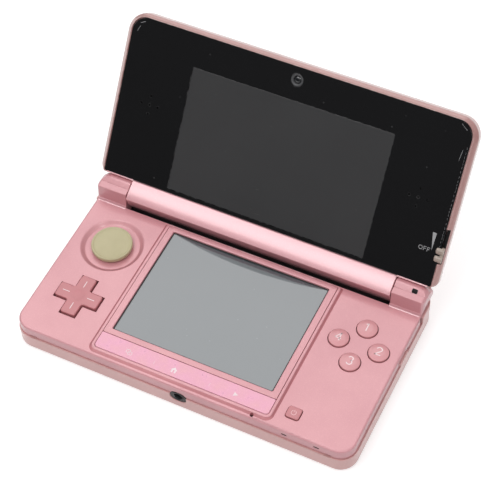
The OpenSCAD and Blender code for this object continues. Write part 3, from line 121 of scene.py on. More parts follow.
class Graph:
    """Short ways to add nodes to a tree."""

    def __init__(self, tree: bpy.types.NodeTree) -> None:
        """Takes a tree.

        Args:
            tree: Tree that the nodes go into.
        """
        self.tree = tree

    def feed(self, node: bpy.types.Node, feeds: dict[str | int, Feed]) -> bpy.types.Node:
        """Joins or sets a node's inputs.

        Args:
            node: The node.
            feeds: Output sockets or values, by name or number of the input.

        Returns:
            The node.
        """
        for key, value in feeds.items():
            if isinstance(value, bpy.types.NodeSocket):
                self.tree.links.new(value, node.inputs[key])
            else:
                node.inputs[key].default_value = value
        return node

    def node(self, kind: str, feeds: dict[str | int, Feed] | None = None,
             **settings: object) -> bpy.types.Node:
        """Adds a node.

        Args:
            kind: Blender's node type, without its first word.
            feeds: What goes into its inputs.
            **settings: Its attributes.

        Returns:
            The new node.
        """
        node = self.tree.nodes.new(f"ShaderNode{kind}")
        for key, value in settings.items():
            setattr(node, key, value)
        return self.feed(node, feeds or {})

    def group(self, tree: bpy.types.NodeTree, place: Feed, **values: float) -> bpy.types.NodeOutputs:
        """Adds a shared group.

        Args:
            tree: The group.
            place: Coordinates it works on.
            **values: Its number inputs, spaces as underscores.

        Returns:
            Its outputs.
        """
        feeds = {key.replace("_", " "): value for key, value in values.items()}
        return self.node("Group", {"Vector": place, **feeds}, node_tree=tree).outputs

    def maths(self, operation: str, *terms: Feed, clamp: bool = False) -> bpy.types.NodeSocket:
        """Works out a number.

        Args:
            operation: Blender's name of the operation.
            *terms: What it works on.
            clamp: Whether the result stays between 0 and 1.

        Returns:
            The number's socket.
        """
        return self.node("Math", dict(enumerate(terms)), operation=operation, use_clamp=clamp).outputs[0]

    def vectors(self, operation: str, *terms: Feed, **scale: Feed) -> bpy.types.NodeOutputs:
        """Works out a vector.

        Args:
            operation: Blender's name of the operation.
            *terms: Vectors that it works on.
            **scale: The Scale input, where it has one.

        Returns:
            The node's outputs.
        """
        return self.node("VectorMath", {**dict(enumerate(terms)), **scale}, operation=operation).outputs

    def blend(self, share: Feed, first: Feed, second: Feed, mode: str = "MIX") -> bpy.types.NodeSocket:
        """Mixes two colours.

        Args:
            share: Share of the second colour.
            first: First colour.
            second: Second colour.
            mode: Blender's name of the way of mixing.

        Returns:
            The colour's socket.
        """
        return self.node("Mix", {0: share, 6: first, 7: second}, data_type="RGBA", blend_type=mode).outputs[2]

    def ranged(self, value: Feed, span: Pair, target: Pair = (0.0, 1.0)) -> bpy.types.NodeSocket:
        """Maps a span of values to another one and clamps it there.

        Args:
            value: The value.
            span: Where it comes from.
            target: Where it goes to.

        Returns:
            The new value's socket.
        """
        return self.node("MapRange", {"Value": value, "From Min": span[0], "From Max": span[1],
                                      "To Min": target[0], "To Max": target[1]}).outputs["Result"]


class ShaderGroup(Graph):
    """A node group with a Vector input, number inputs and its outputs."""

    def __init__(self, name: str, presets: dict[str, float], outputs: dict[str, str]) -> None:
        """Starts the group with its sockets.

        Args:
            name: Name of the group.
            presets: Presets of its number inputs.
            outputs: Kinds of the values, masks, colours or normals that it gives.
        """
        super().__init__(bpy.data.node_groups.new(name, "ShaderNodeTree"))
        ports = [("Vector", "INPUT", "Vector")] + [(key, "INPUT", "Float") for key in presets]
        for key, side, kind in ports + [(key, "OUTPUT", kind) for key, kind in outputs.items()]:
            socket = self.tree.interface.new_socket(name=key, in_out=side, socket_type=f"NodeSocket{kind}")
            if key in presets:
                socket.default_value = presets[key]
        self.given = self.tree.nodes.new("NodeGroupInput").outputs
        self.leave = self.tree.nodes.new("NodeGroupOutput")

    def done(self, **results: Feed) -> bpy.types.NodeTree:
        """Puts the results out.

        Args:
            **results: Sockets by output name.

        Returns:
            The group's tree.
        """
        self.feed(self.leave, results)
        return self.tree


@cache
def mottle_group() -> bpy.types.NodeTree:
    """Two octaves of soft variation round 0.5, with a finer grain value.

    Returns:
        The node group.
    """
    g = ShaderGroup("mottle", {"Cloud Scale": 40.0, "Grain Scale": 1500.0},
                    {"Cloud": "Float", "Grain": "Float"})
    place = g.given["Vector"]
    cloud = g.node("TexNoise", {"Vector": place, "Scale": g.given["Cloud Scale"], "Detail": 4.0,
                                "Roughness": 0.55})
    grain = g.node("TexNoise", {"Vector": place, "Scale": g.given["Grain Scale"], "Detail": 2.0,
                                "Roughness": 0.6})
    return g.done(Cloud=cloud.outputs["Fac"], Grain=grain.outputs["Fac"])


@cache
def fleck_group() -> bpy.types.NodeTree:
    """Pearl flakes: sparse bright cells, and a normal that tips each flake a little.

    Returns:
        The node group.
    """
    g = ShaderGroup("flecks", {"Scale": 5200.0, "Share": 0.72, "Tip": 0.05},
                    {"Mask": "Float", "Normal": "Vector"})
    cells = g.node("TexVoronoi", {"Vector": g.given["Vector"], "Scale": g.given["Scale"]}, feature="F1")
    chance = g.node("SeparateColor", {"Color": cells.outputs["Color"]}).outputs
    over = g.maths("GREATER_THAN", chance["Red"], g.given["Share"])
    centre = g.vectors("SUBTRACT", cells.outputs["Color"], (0.5, 0.5, 0.5))
    tip = g.vectors("SCALE", centre[0], Scale=g.given["Tip"])
    tipped = g.vectors("ADD", g.node("NewGeometry").outputs["Normal"], tip[0])
    return g.done(Mask=g.maths("MULTIPLY", over, chance["Green"]),
                  Normal=g.vectors("NORMALIZE", tipped[0])[0])


@cache
def wear_group() -> bpy.types.NodeTree:
    """Mask of edges rubbed by handling: where a rounded normal leaves the true one, broken up by noise.

    Returns:
        The node group.
    """
    g = ShaderGroup("edge wear", {"Radius": 0.0004, "Amount": 1.0}, {"Mask": "Float"})
    soft = g.node("Bevel", {"Radius": g.given["Radius"]}, samples=4).outputs["Normal"]
    bend = g.vectors("DOT_PRODUCT", soft, g.node("NewGeometry").outputs["Normal"])["Value"]
    noise = g.node("TexNoise", {"Vector": g.given["Vector"], "Scale": 420.0, "Detail": 3.0, "Roughness": 0.6})
    mask = g.maths("MULTIPLY", g.ranged(bend, (0.97, 0.84)), g.ranged(noise.outputs["Fac"], (0.42, 0.62)))
    return g.done(Mask=g.maths("MULTIPLY", mask, g.given["Amount"], clamp=True))


@cache
def scratch_group() -> bpy.types.NodeTree:
    """Fine hairline scratches in two directions, and scattered dust specks.

    Returns:
        The node group.
    """
    g = ShaderGroup("scratches", {"Scale": 170.0, "Dust Scale": 260.0}, {"Lines": "Float", "Dust": "Float"})
    lines = []
    for turn, stretch in ((0.6, 34.0), (-1.1, 26.0)):
        place = g.node("Mapping", {"Vector": g.given["Vector"], "Rotation": (turn * 0.3, turn * 0.2, turn),
                                   "Scale": (1.0, stretch, stretch)}).outputs[0]
        noise = g.node("TexNoise", {"Vector": place, "Scale": g.given["Scale"], "Detail": 2.0,
                                    "Roughness": 0.5})
        lines.append(g.ranged(noise.outputs["Fac"], (0.69, 0.74)))
    specks = g.node("TexVoronoi", {"Vector": g.given["Vector"], "Scale": g.given["Dust Scale"],
                                   "Randomness": 1.0},
                    feature="F1").outputs
    few = g.maths("GREATER_THAN", g.node("SeparateColor", {"Color": specks["Color"]}).outputs["Blue"], 0.8)
    dust = g.maths("MULTIPLY", g.ranged(specks["Distance"], (0.09, 0.05)), few)
    return g.done(Lines=g.maths("MAXIMUM", *lines), Dust=dust)


# Finishes

FLECK_TINT = (0.45, 0.36, 0.36, 1.0)


def linear(rgb: Sequence[int]) -> tuple[float, ...]:
    """Turns an 8-bit screen colour into scene-linear values.

    Args:
        rgb: Red, green and blue from 0 to 255.

    Returns:
        Linear red, green and blue, and full alpha.
    """
    return (*(((v / 255 + 0.055) / 1.055) ** 2.4 if v > 10 else v / 3294.6 for v in rgb), 1.0)


@dataclass(frozen=True)
class Finish:
    """A procedural plastic, metal, rubber or board finish on Object coordinates.

    Attributes:
        name: Material name.
        slot: The record's material slot.
        base: Screen colour of the finish.
        deep: Screen colour it drifts to in the mottle.
        wear_dust_and_sheen: Screen colour of rubbed edges and of dust on glass, and also of the painted sheen
            at glancing angles where no painted_glance_colour is given.
        rough: Middle roughness.
        rough_span: How far the roughness drifts.
        metal: Metallic share.
        coat: Clear coat weight.
        coat_rough: Roughness of the clear coat.
        fleck: Strength of the pearl flakes, 0 for none.
        grain: Bump height of the fine grain in millimetres.
        grain_scale: Frequency of the grain per metre.
        wear: Amount of edge wear.
        scratch: How strongly hairlines show.
        painted_glance: Share of painted light or shade laid on faces seen at glancing angles.
        cloud: Frequency of the mottle per metre.
        ior: Index of refraction.
        painted_glance_colour: Screen colour of that painted light or shade, the wear_dust_and_sheen colour if
            not given.
    """

    HAIRLINE: ClassVar[float] = 0.35

    name: str
    slot: str
    base: tuple[int, int, int]
    deep: tuple[int, int, int]
    wear_dust_and_sheen: tuple[int, int, int] = (240, 225, 225)
    rough: float = 0.4
    rough_span: float = 0.08
    metal: float = 0.0
    coat: float = 0.0
    coat_rough: float = 0.1
    fleck: float = 0.0
    grain: float = 0.004
    grain_scale: float = 1500.0
    wear: float = 0.5
    scratch: float = 0.3
    painted_glance: float = 0.0
    cloud: float = 40.0
    ior: float = 1.5
    painted_glance_colour: tuple[int, int, int] | None = None

    def layer(self, g: Graph, colour: Feed, marks: bpy.types.NodeOutputs) -> Feed:
        """Paints light or shade over the colour at glancing angles: a tint that stands in for shade on steep
        faces and for grazing reflections.

        Args:
            g: The material's graph.
            colour: Colour so far.
            marks: Hairlines and dust; not used here.

        Returns:
            The new colour.
        """
        if not self.painted_glance:
            return colour
        # Painted light and shade: a darker or paler tint on faces seen at glancing angles, standing in for
        # their shade and grazing reflections.
        facing = g.node("LayerWeight", {"Blend": 0.35}).outputs["Facing"]
        return g.blend(g.maths("MULTIPLY", facing, self.painted_glance), colour, linear(self.painted_glance_colour or self.wear_dust_and_sheen))

    def roughness(self, g: Graph, cloud: Feed) -> bpy.types.NodeSocket:
        """Lets the roughness drift both ways with the mottle.

        Args:
            g: The material's graph.
            cloud: The mottle.

        Returns:
            The roughness.
        """
        return g.ranged(cloud, (0.3, 0.7), (max(self.rough - self.rough_span, 0.02),
                                            self.rough + self.rough_span))

    @cache
    def material(self) -> bpy.types.Material:
        """Builds the material once.

        Returns:
            The material.
        """
        mat = bpy.data.materials.new(f"{self.name}_finish")
        mat.use_nodes = True
        g = Graph(mat.node_tree)
        place = g.node("TexCoord").outputs["Object"]
        mottle = g.group(mottle_group(), place, Cloud_Scale=self.cloud, Grain_Scale=self.grain_scale)
        marks = g.group(scratch_group(), place)
        colour = g.blend(g.ranged(mottle["Cloud"], (0.3, 0.7)), linear(self.base), linear(self.deep))
        colour = self.layer(g, colour, marks)
        colour = g.blend(g.group(wear_group(), place, Amount=self.wear)["Mask"], colour, linear(self.wear_dust_and_sheen))
        bump = {"Strength": 1.0, "Distance": self.grain * MM, "Height": mottle["Grain"]}
        if self.fleck:
            flecks = g.group(fleck_group(), place, Tip=0.10 * self.fleck)
            colour = g.blend(g.maths("MULTIPLY", flecks["Mask"], 0.22 * self.fleck), colour, FLECK_TINT,
                             "ADD")
            bump["Normal"] = flecks["Normal"]
        rough = self.roughness(g, mottle["Cloud"])
        rough = g.maths("MULTIPLY_ADD", marks["Lines"], self.HAIRLINE * self.scratch, rough, clamp=True)
        g.feed(g.tree.nodes["Principled BSDF"], {
            "Base Color": colour, "Roughness": rough, "Normal": g.node("Bump", bump).outputs["Normal"],
            "Metallic": self.metal, "IOR": self.ior, "Coat Weight": self.coat,
            "Coat Roughness": self.coat_rough})
        return mat


@dataclass(frozen=True)
class GlassFinish(Finish):
    """A dark or clear glossy sheet: smooth reflections, faint smears, dust and hairlines.

    Attributes:
        smear: How much rougher the smeared places are.
        dust: Strength of the dust.
    """

    HAIRLINE: ClassVar[float] = 0.25

    smear: float = 0.05
    dust: float = 0.12

    def layer(self, g: Graph, colour: Feed, marks: bpy.types.NodeOutputs) -> Feed:
        """Lays dust over the colour.

        Args:
            g: The material's graph.
            colour: Colour so far.
            marks: Hairlines and dust.

        Returns:
            The new colour.
        """
        return g.blend(g.maths("MULTIPLY", marks["Dust"], self.dust), colour, linear(self.wear_dust_and_sheen))

    def roughness(self, g: Graph, cloud: Feed) -> bpy.types.NodeSocket:
        """Roughens the smeared places.

        Args:
            g: The material's graph.
            cloud: The mottle.

        Returns:
            The roughness.
        """
        return g.ranged(cloud, (0.35, 0.7), (self.rough, self.rough + self.smear))


# The glancing share and colour in these finishes paint shade (darker tints) or sheen (the pale wear colour)
# onto faces seen at glancing angles.
SATIN = Finish("satin_pink", "satin_pink", (228, 164, 170), (221, 157, 164), (250, 226, 228), rough=0.40,
               metal=0.1, coat=0.6, coat_rough=0.16, fleck=0.5, grain=0.003, wear=0.35, painted_glance=0.8, ior=1.6,
               painted_glance_colour=(150, 82, 92))
# Darker copy of the satin pink for the raised frame's slope: painted shade where the steep slope gets less
# light.
SKIRT_SHADE = Finish("skirt_painted_shade", "satin_pink", (198, 124, 130), (190, 117, 123), (244, 206, 208), rough=0.42,
               metal=0.1, coat=0.3, coat_rough=0.2, fleck=0.4, grain=0.003, wear=0.1, painted_glance=0.4,
               painted_glance_colour=(140, 76, 84))
BARREL = Finish("barrel_pink", "barrel_pink", (229, 166, 173), (224, 160, 168), (253, 238, 240), rough=0.24,
                ior=1.9, metal=0.1, coat=1.0, coat_rough=0.16, fleck=0.4, grain=0.002, wear=0.4, scratch=0.08,
                cloud=12.0, rough_span=0.01)
RAIL = Finish("rail_salmon", "barrel_pink", (176, 124, 120), (169, 117, 113), (252, 236, 230), rough=0.34,
              metal=0.1, coat=1.0, coat_rough=0.14, fleck=0.4, grain=0.002, wear=0.6, painted_glance=0.3, ior=1.7)
SIDE = Finish("side_pink", "side_pink", (211, 155, 154), (204, 148, 147), (246, 224, 220), rough=0.42,
              metal=0.1, coat=0.3, coat_rough=0.25, fleck=0.4, grain=0.003, wear=0.5, painted_glance=0.55)
ROSE = Finish("key_rose", "key_rose", (210, 136, 140), (203, 129, 134), (236, 190, 190), rough=0.36,
              coat=0.3, coat_rough=0.2, grain=0.003, wear=0.4, painted_glance=0.7, painted_glance_colour=(130, 66, 72))
CAP = Finish("cap_rose", "key_rose", (230, 163, 167), (224, 156, 161), (244, 208, 208), rough=0.34,
             coat=0.6, coat_rough=0.14, grain=0.003, wear=0.4, painted_glance=0.7, painted_glance_colour=(134, 70, 76))
STRIP = Finish("strip_film", "strip_film", (229, 162, 188), (232, 170, 183), (250, 222, 232), rough=0.34,
               metal=0.1, coat=0.4, coat_rough=0.15, fleck=0.8, grain=0.004, wear=0.2, cloud=260.0)
BEIGE = Finish("cap_beige", "cap_beige", (196, 187, 150), (187, 178, 142), (220, 212, 186), rough=0.48,
               grain=0.006, grain_scale=2600.0, wear=0.4, cloud=120.0)
KNOB = Finish("knob_grey", "knob_grey", (176, 160, 148), (164, 148, 138), (216, 204, 192), rough=0.35,
              coat=0.4, grain=0.003, wear=0.5)
PANEL = GlassFinish("panel_black", "panel_black", (15, 15, 17), (13, 13, 15), (190, 190, 192), rough=0.07,
                    coat=0.3, coat_rough=0.03, grain=0.0006, grain_scale=300.0, wear=0.25, dust=0.08,
                    cloud=30.0)
SCREEN = GlassFinish("screen_dark", "screen_dark", (66, 66, 67), (62, 62, 63), (120, 120, 122), rough=0.16,
                     grain=0.0006, grain_scale=400.0, wear=0.2, dust=0.08, cloud=24.0)
TOUCH = GlassFinish("touch_glass", "touch_glass", (84, 91, 96), (79, 87, 92), (170, 176, 178), rough=0.05,
                    coat=1.0, coat_rough=0.03, grain=0.0004, grain_scale=300.0, wear=0.0, smear=0.04,
                    dust=0.10, cloud=22.0, ior=2.0)
LENS = GlassFinish("lens_glass", "lens_glass", (14, 16, 22), (10, 12, 18), (120, 120, 130), rough=0.04,
                   coat=1.0, coat_rough=0.02, grain=0.0, dust=0.02)
RING = Finish("ring_grey", "black_plastic", (84, 84, 86), (76, 76, 79), (150, 150, 152), rough=0.3,
              grain=0.003, wear=0.4)
BLACK = Finish("black_plastic", "black_plastic", (38, 36, 37), (30, 29, 30), (110, 106, 106), rough=0.42,
               grain=0.006, wear=0.3)
SMOKED = GlassFinish("smoked_window", "smoked_window", (24, 16, 19), (20, 13, 16), (110, 92, 96), rough=0.08,
                     coat=0.0, grain=0.0005, dust=0.04, ior=1.2)
PIPE = GlassFinish("light_pipe", "light_pipe", (150, 130, 128), (138, 120, 118), (220, 210, 206), rough=0.14,
                   coat=0.5, grain=0.001, dust=0.03)
SILICONE = Finish("silicone", "silicone", (150, 150, 148), (138, 138, 137), (176, 176, 174), rough=0.62,
                  grain=0.01, wear=0.2)
BOARD = Finish("board_green", "board_green", (34, 92, 62), (28, 80, 54), (176, 140, 84), rough=0.4,
               coat=0.5, coat_rough=0.2, grain=0.012, grain_scale=900.0, wear=0.3, cloud=600.0)
STEEL = Finish("steel", "steel", (176, 178, 182), (160, 162, 167), (216, 216, 218), rough=0.3, metal=1.0,
               grain=0.002, grain_scale=2200.0, wear=0.3)
TIN = Finish("tin", "tin", (196, 196, 190), (180, 180, 175), (222, 222, 218), rough=0.38, metal=1.0,
             grain=0.003, wear=0.2)
GOLD = Finish("contact_gold", "contact_gold", (214, 172, 92), (202, 158, 80), (236, 208, 140), rough=0.26,
              metal=1.0, grain=0.002, wear=0.3)
BATTERY = Finish("battery_grey", "battery_grey", (72, 73, 78), (62, 63, 68), (120, 120, 124), rough=0.46,
                 grain=0.005, wear=0.3)
RIBBON = Finish("ribbon_amber", "ribbon_amber", (196, 118, 40), (180, 104, 34), (220, 160, 90), rough=0.3,
                coat=0.4, grain=0.002, wear=0.2)
INK = Finish("print_white", "satin_pink", (244, 228, 230), (238, 220, 222), (250, 240, 240), rough=0.5,
             grain=0.001, wear=0.0, scratch=0.0)
PALE_INK = Finish("print_pale", "key_rose", (250, 226, 228), (246, 220, 222), (252, 236, 236), rough=0.5,
                  grain=0.001, wear=0.0, scratch=0.0)
FAINT_INK = Finish("print_faint", "key_rose", (242, 204, 206), (238, 198, 200), (246, 214, 216), rough=0.5,
                   grain=0.001, wear=0.0, scratch=0.0)
GREY_INK = Finish("print_grey", "panel_black", (168, 168, 170), (158, 158, 160), (190, 190, 190), rough=0.5,
                  grain=0.001, wear=0.0, scratch=0.0)
FINISHES = {f.slot: f for f in (SATIN, BARREL, SIDE, ROSE, STRIP, BEIGE, KNOB, PANEL, SCREEN, TOUCH, LENS,
                                BLACK, SMOKED, PIPE, SILICONE, BOARD, STEEL, TIN, GOLD, BATTERY, RIBBON)}


# Shapes in millimetres


def plan(x0: float, x1: float, y0: float, y1: float, radii: Sequence[float], steps: int = 8) -> list[Point]:
    """Rounded rectangle, counter-clockwise from its lower right corner.

    Args:
        x0: Left side.
        x1: Right side.
        y0: Lower side.
        y1: Upper side.
        radii: Corner radii: lower right, upper right, upper left, lower left.
        steps: Segments of a corner.

    Returns:
        The outline's points.
    """
    corners = ((x1, y0, -1, 1), (x1, y1, -1, -1), (x0, y1, 1, -1), (x0, y0, 1, 1))
    points = []
    for k, ((x, y, sx, sy), r) in enumerate(zip(corners, radii)):
        for i in range(steps + 1):
            a = math.radians(-90 + 90 * k + 90 * i / steps)
            points.append((x + sx * r + r * math.cos(a), y + sy * r + r * math.sin(a)))
    return points


def centred(w: float, d: float, r: float, at: Point = (0.0, 0.0), steps: int = 8) -> list[Point]:
    """Rounded rectangle round a centre.

    Args:
        w: Width.
        d: Depth.
        r: Corner radius.
        at: Centre.
        steps: Segments of a corner.

    Returns:
        The outline's points.
    """
    r = max(min(r, w / 2, d / 2), 0.01)
    return plan(at[0] - w / 2, at[0] + w / 2, at[1] - d / 2, at[1] + d / 2, (r, r, r, r), steps)


def mirrored(outline: Sequence[Point], side: int) -> list[Point]:
    """Outline for one side of the console, drawn for the right one.

    Args:
        outline: Points on the right.
        side: 1 for right, -1 for left.

    Returns:
        The points, in the same sense of turning.
    """
    return [(side * x, y) for x, y in outline][::side]


def placed(at: Sequence[float], degrees: float, axis: str) -> Matrix:
    """Turns something about an axis, then moves it.

    Args:
        at: Where its origin goes.
        degrees: Angle.
        axis: Name of the axis.

    Returns:
        The transform.
    """
    return Matrix.Translation(at) @ Matrix.Rotation(math.radians(degrees), 4, axis)


def add_object(name: str, data: bpy.types.ID) -> bpy.types.Object:
    """Puts a new object into the scene.

    Args:
        name: Its name.
        data: Its mesh, lamp or camera.

    Returns:
        The object.
    """
    ob = bpy.data.objects.new(name, data)
    bpy.context.scene.collection.objects.link(ob)
    return ob


def at_height(outline: Sequence[Point], z: float) -> Ring:
    """Lifts an outline to a height.

    Args:
        outline: Points in plan.
        z: Height.

    Returns:
        The ring.
    """
    return [Vector((x, y, z)) for x, y in outline]


def arc(cx: float, cy: float, r: float, a0: float, a1: float, steps: int) -> list[Point]:
    """Points on an arc, both ends included.

    Args:
        cx: Centre, first coordinate.
        cy: Centre, second coordinate.
        r: Radius.
        a0: First angle in degrees.
        a1: Last angle in degrees.
        steps: Number of segments.

    Returns:
        The points.
    """
    return [(cx + r * math.cos(math.radians(a0 + (a1 - a0) * i / steps)),
             cy + r * math.sin(math.radians(a0 + (a1 - a0) * i / steps))) for i in range(steps + 1)]


class Shape:
    """Collects closed solids and turns them into one object."""

    def __init__(self) -> None:
        """Starts empty."""
        self.bm = bmesh.new()

    def loft(self, rings: Sequence[Ring], closed: bool = False) -> "Shape":
        """Draws a ring out along the next ones, with its ends filled, or welded to each other.

        Args:
            rings: The rings in order, each with the same count of points.
            closed: Whether the last ring joins the first.

        Returns:
            The shape.
        """
        part = bmesh.new()
        first = line = [part.verts.new(p) for p in rings[0]]
        start = edges = [part.edges.new((a, b)) for a, b in zip(line, line[1:] + line[:1])]
        if not closed:
            bmesh.ops.edgeloop_fill(part, edges=start)
        for ring in list(rings[1:]) + ([rings[0]] if closed else []):
            place = {vert: k for k, vert in enumerate(line)}
            drawn = bmesh.ops.extrude_edge_only(part, edges=edges)["geom"]
            fresh = [e for e in drawn if isinstance(e, bmesh.types.BMVert)]
            line = [fresh[0]] * len(fresh)
            for vert in fresh:
                old = next(e.other_vert(vert) for e in vert.link_edges if e.other_vert(vert) in place)
                line[place[old]] = vert
                vert.co = ring[place[old]]
            both = set(fresh)
            edges = [e for e in drawn if isinstance(e, bmesh.types.BMEdge) and both.issuperset(e.verts)]
        if closed:
            bmesh.ops.weld_verts(part, targetmap=dict(zip(line, first)))
        else:
            bmesh.ops.edgeloop_fill(part, edges=edges)
        bmesh.ops.recalc_face_normals(part, faces=part.faces)
        self.take(part)
        return self

    def prism(self, outline: Sequence[Point], z0: float, z1: float) -> "Shape":
        """Upright prism.

        Args:
            outline: Plan.
            z0: Lower height.
            z1: Upper height.

        Returns:
            The shape.
        """
        return self.loft([at_height(outline, z0), at_height(outline, z1)])

    def along_x(self, section: Sequence[Point], stations: Sequence[tuple[float, float]],
                about: Point = (0.0, 0.0)) -> "Shape":
        """Bar along X whose section can shrink towards a point at its ends.

        Args:
            section: Points in Y and Z.
            stations: X place and inset of the section, one after another.
            about: Point that the insets draw towards.

        Returns:
            The shape.
        """
        rings = []
        for x, inset in stations:
            ring = []
            for y, z in section:
                d = Vector((about[0] - y, about[1] - z))
                step = d.normalized() * inset if d.length > inset else d
                ring.append(Vector((x, y + step.x, z + step.y)))
            rings.append(ring)
        return self.loft(rings)

    def box(self, low: Sequence[float], high: Sequence[float]) -> "Shape":
        """Square block, used as a cutter.

        Args:
            low: Lowest corner.
            high: Highest corner.

        Returns:
            The shape.
        """
        lo, hi = Vector(low), Vector(high)
        part = bmesh.new()
        place = Matrix.Translation((lo + hi) / 2) @ Matrix.Diagonal((*(hi - lo), 1))
        bmesh.ops.create_cube(part, size=1.0, matrix=place)
        self.take(part)
        return self

    def rod(self, r: float, z0: float, z1: float, at: Point = (0.0, 0.0), steps: int = 48) -> "Shape":
        """Upright round rod.

        Args:
            r: Radius.
            z0: Lower height.
            z1: Upper height.
            at: Where it stands.
            steps: Segments round.

        Returns:
            The shape.
        """
        part = bmesh.new()
        bmesh.ops.create_cone(part, cap_ends=True, segments=steps, radius1=r, radius2=r, depth=z1 - z0,
                              matrix=Matrix.Translation((*at, (z0 + z1) / 2)))
        self.take(part)
        return self

    def lathe(self, profile: Sequence[Point], at: Sequence[float] = (0.0, 0.0, 0.0), steps: int = 64,
              turn: Matrix | None = None) -> "Shape":
        """Spins a profile of radius and height about Z.

        Args:
            profile: Points of radius and height.
            at: Where the axis stands.
            steps: Segments round.
            turn: Rotation of the axis.

        Returns:
            The shape.
        """
        part = bmesh.new()
        line = [part.verts.new((max(r, 0.0), 0, z)) for r, z in profile]
        edges = [part.edges.new((a, b)) for a, b in zip(line, line[1:])]
        if profile[0][0] > 1e-6 and profile[-1][0] > 1e-6:
            edges.append(part.edges.new((line[-1], line[0])))
        bmesh.ops.spin(part, geom=line + edges, cent=(0, 0, 0), axis=(0, 0, 1), dvec=(0, 0, 0),
                       angle=math.tau, steps=steps, use_merge=True)
        bmesh.ops.remove_doubles(part, verts=part.verts, dist=1e-5)
        bmesh.ops.recalc_face_normals(part, faces=part.faces)
        place = Matrix.Translation(Vector(at)) @ (turn or Matrix.Identity(4))
        bmesh.ops.transform(part, matrix=place, verts=part.verts)
        self.take(part)
        return self

    def hull(self, points: Sequence[Sequence[float]], soften: float = 0.0, angle: float = 14.0) -> "Shape":
        """Convex body round points, with softened edges.

        Args:
            points: The points.
            soften: Width of the rounding.
            angle: Least edge angle that is rounded, in degrees.

        Returns:
            The shape.
        """
        part = bmesh.new()
        verts = [part.verts.new(p) for p in points]
        got = bmesh.ops.convex_hull(part, input=verts)
        loose = [v for v in got["geom_interior"] + got["geom_unused"] if isinstance(v, bmesh.types.BMVert)]
        bmesh.ops.delete(part, geom=list(set(loose)), context="VERTS")
        bmesh.ops.dissolve_limit(part, angle_limit=math.radians(1.0), verts=part.verts, edges=part.edges)
        if soften:
            round_edges(part, soften, angle, 3)
        self.take(part)
        return self

    def take(self, other: bmesh.types.BMesh) -> None:
        """Adds another mesh's faces and frees it.

        Args:
            other: Mesh to take.
        """
        mesh = bpy.data.meshes.new("part")
        other.to_mesh(mesh)
        other.free()
        self.bm.from_mesh(mesh)
        bpy.data.meshes.remove(mesh)

    def soften(self, width: float, angle: float = 30.0, segments: int = 2) -> "Shape":
        """Rounds every edge sharper than an angle.

        Args:
            width: Rounding width.
            angle: Least edge angle in degrees.
            segments: Segments of the rounding.

        Returns:
            The shape.
        """
        round_edges(self.bm, width, angle, segments)
        return self

    def moved(self, matrix: Matrix) -> "Shape":
        """Moves everything so far.

        Args:
            matrix: Transform in millimetres.

        Returns:
            The shape.
        """
        bmesh.ops.transform(self.bm, matrix=matrix, verts=self.bm.verts)
        return self

    def carved(self, *cutters: "Shape", join_flats: bool = True) -> "Shape":
        """Cuts other shapes out with exact booleans.

        Args:
            *cutters: Shapes to cut, each free of overlaps in itself.
            join_flats: Whether flat faces side by side become one.

        Returns:
            The shape.
        """
        body = add_object("carved", self._mesh("carved"))
        for cutter in cutters:
            tool = add_object("cutter", cutter._mesh("cutter"))
            mod = body.modifiers.new("cut", "BOOLEAN")
            mod.operation = "DIFFERENCE"
            mod.solver = "EXACT"
            mod.object = tool
            graph = bpy.context.evaluated_depsgraph_get()
            cut = bpy.data.meshes.new_from_object(body.evaluated_get(graph))
            body.modifiers.clear()
            body.data = cut
            bpy.data.objects.remove(tool)
        self.bm = bmesh.new()
        self.bm.from_mesh(body.data)
        bpy.data.objects.remove(body)
        bmesh.ops.remove_doubles(self.bm, verts=self.bm.verts, dist=0.004)
        if join_flats:
            bmesh.ops.dissolve_limit(self.bm, angle_limit=math.radians(0.2), verts=self.bm.verts,
                                     edges=self.bm.edges, delimit=set())
        return self

    def _mesh(self, name: str) -> bpy.types.Mesh:
        """Turns the collected faces into a mesh in millimetres and empties the collector.

        Args:
            name: Name of the mesh.

        Returns:
            The mesh.
        """
        mesh = bpy.data.meshes.new(name)
        self.bm.to_mesh(mesh)
        self.bm.free()
        return mesh

    def piece(self, name: str, finish: Finish, body: Body, lid: bool = False, smooth: float = 38.0,
              stands_for: Sequence[str] = ()) -> bpy.types.Object:
        """Makes the object: scaled to metres, shaded, finished and riding on its body.

        Args:
            name: Name of the piece.
            finish: Its finish.
            body: CAD body that it rides on.
            lid: Whether it was drawn in the lid's frame.
            smooth: Greatest edge angle that shades smooth, in degrees.
            stands_for: CAD nodes that it replaces.

        Returns:
            The object.
        """
        if lid:
            self.moved(LID)
        bmesh.ops.scale(self.bm, vec=(MM, MM, MM), verts=self.bm.verts)
        mesh = self._mesh(name)
        mesh.name = name
        mesh.polygons.foreach_set("use_smooth", [True] * len(mesh.polygons))
        mesh.set_sharp_from_angle(angle=math.radians(smooth))
        ob = add_object(name, mesh)
        mesh.materials.append(finish.material())
        even = ob.modifiers.new("even normals", "WEIGHTED_NORMAL")
        even.keep_sharp = True
        even.weight = 60
        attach(ob, body.value)
        if stands_for:
            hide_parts(*stands_for)
        LOG.info("%s: %d faces on %s", name, len(mesh.polygons), body.value)
        return ob


def bevel(bm: bmesh.types.BMesh, edges: Sequence[bmesh.types.BMEdge], width: float, segments: int) -> None:
    """Rounds edges.

    Args:
        bm: Their mesh.
        edges: The edges.
        width: Rounding width.
        segments: Segments of the rounding.
    """
    bmesh.ops.bevel(bm, geom=edges, offset=width, offset_type="OFFSET", segments=segments, profile=0.5,
                    affect="EDGES", clamp_overlap=False, material=-1, loop_slide=True)


def round_edges(bm: bmesh.types.BMesh, width: float, angle: float, segments: int) -> None:
    """Rounds the edges of a mesh that are sharper than an angle.

    Args:
        bm: The mesh.
        width: Rounding width.
        angle: Least edge angle in degrees.
        segments: Segments of the rounding.
    """
    limit = math.radians(angle)
    edges = [e for e in bm.edges if e.is_manifold and e.calc_face_angle(0.0) > limit]
    bevel(bm, edges, width, segments)


# Base


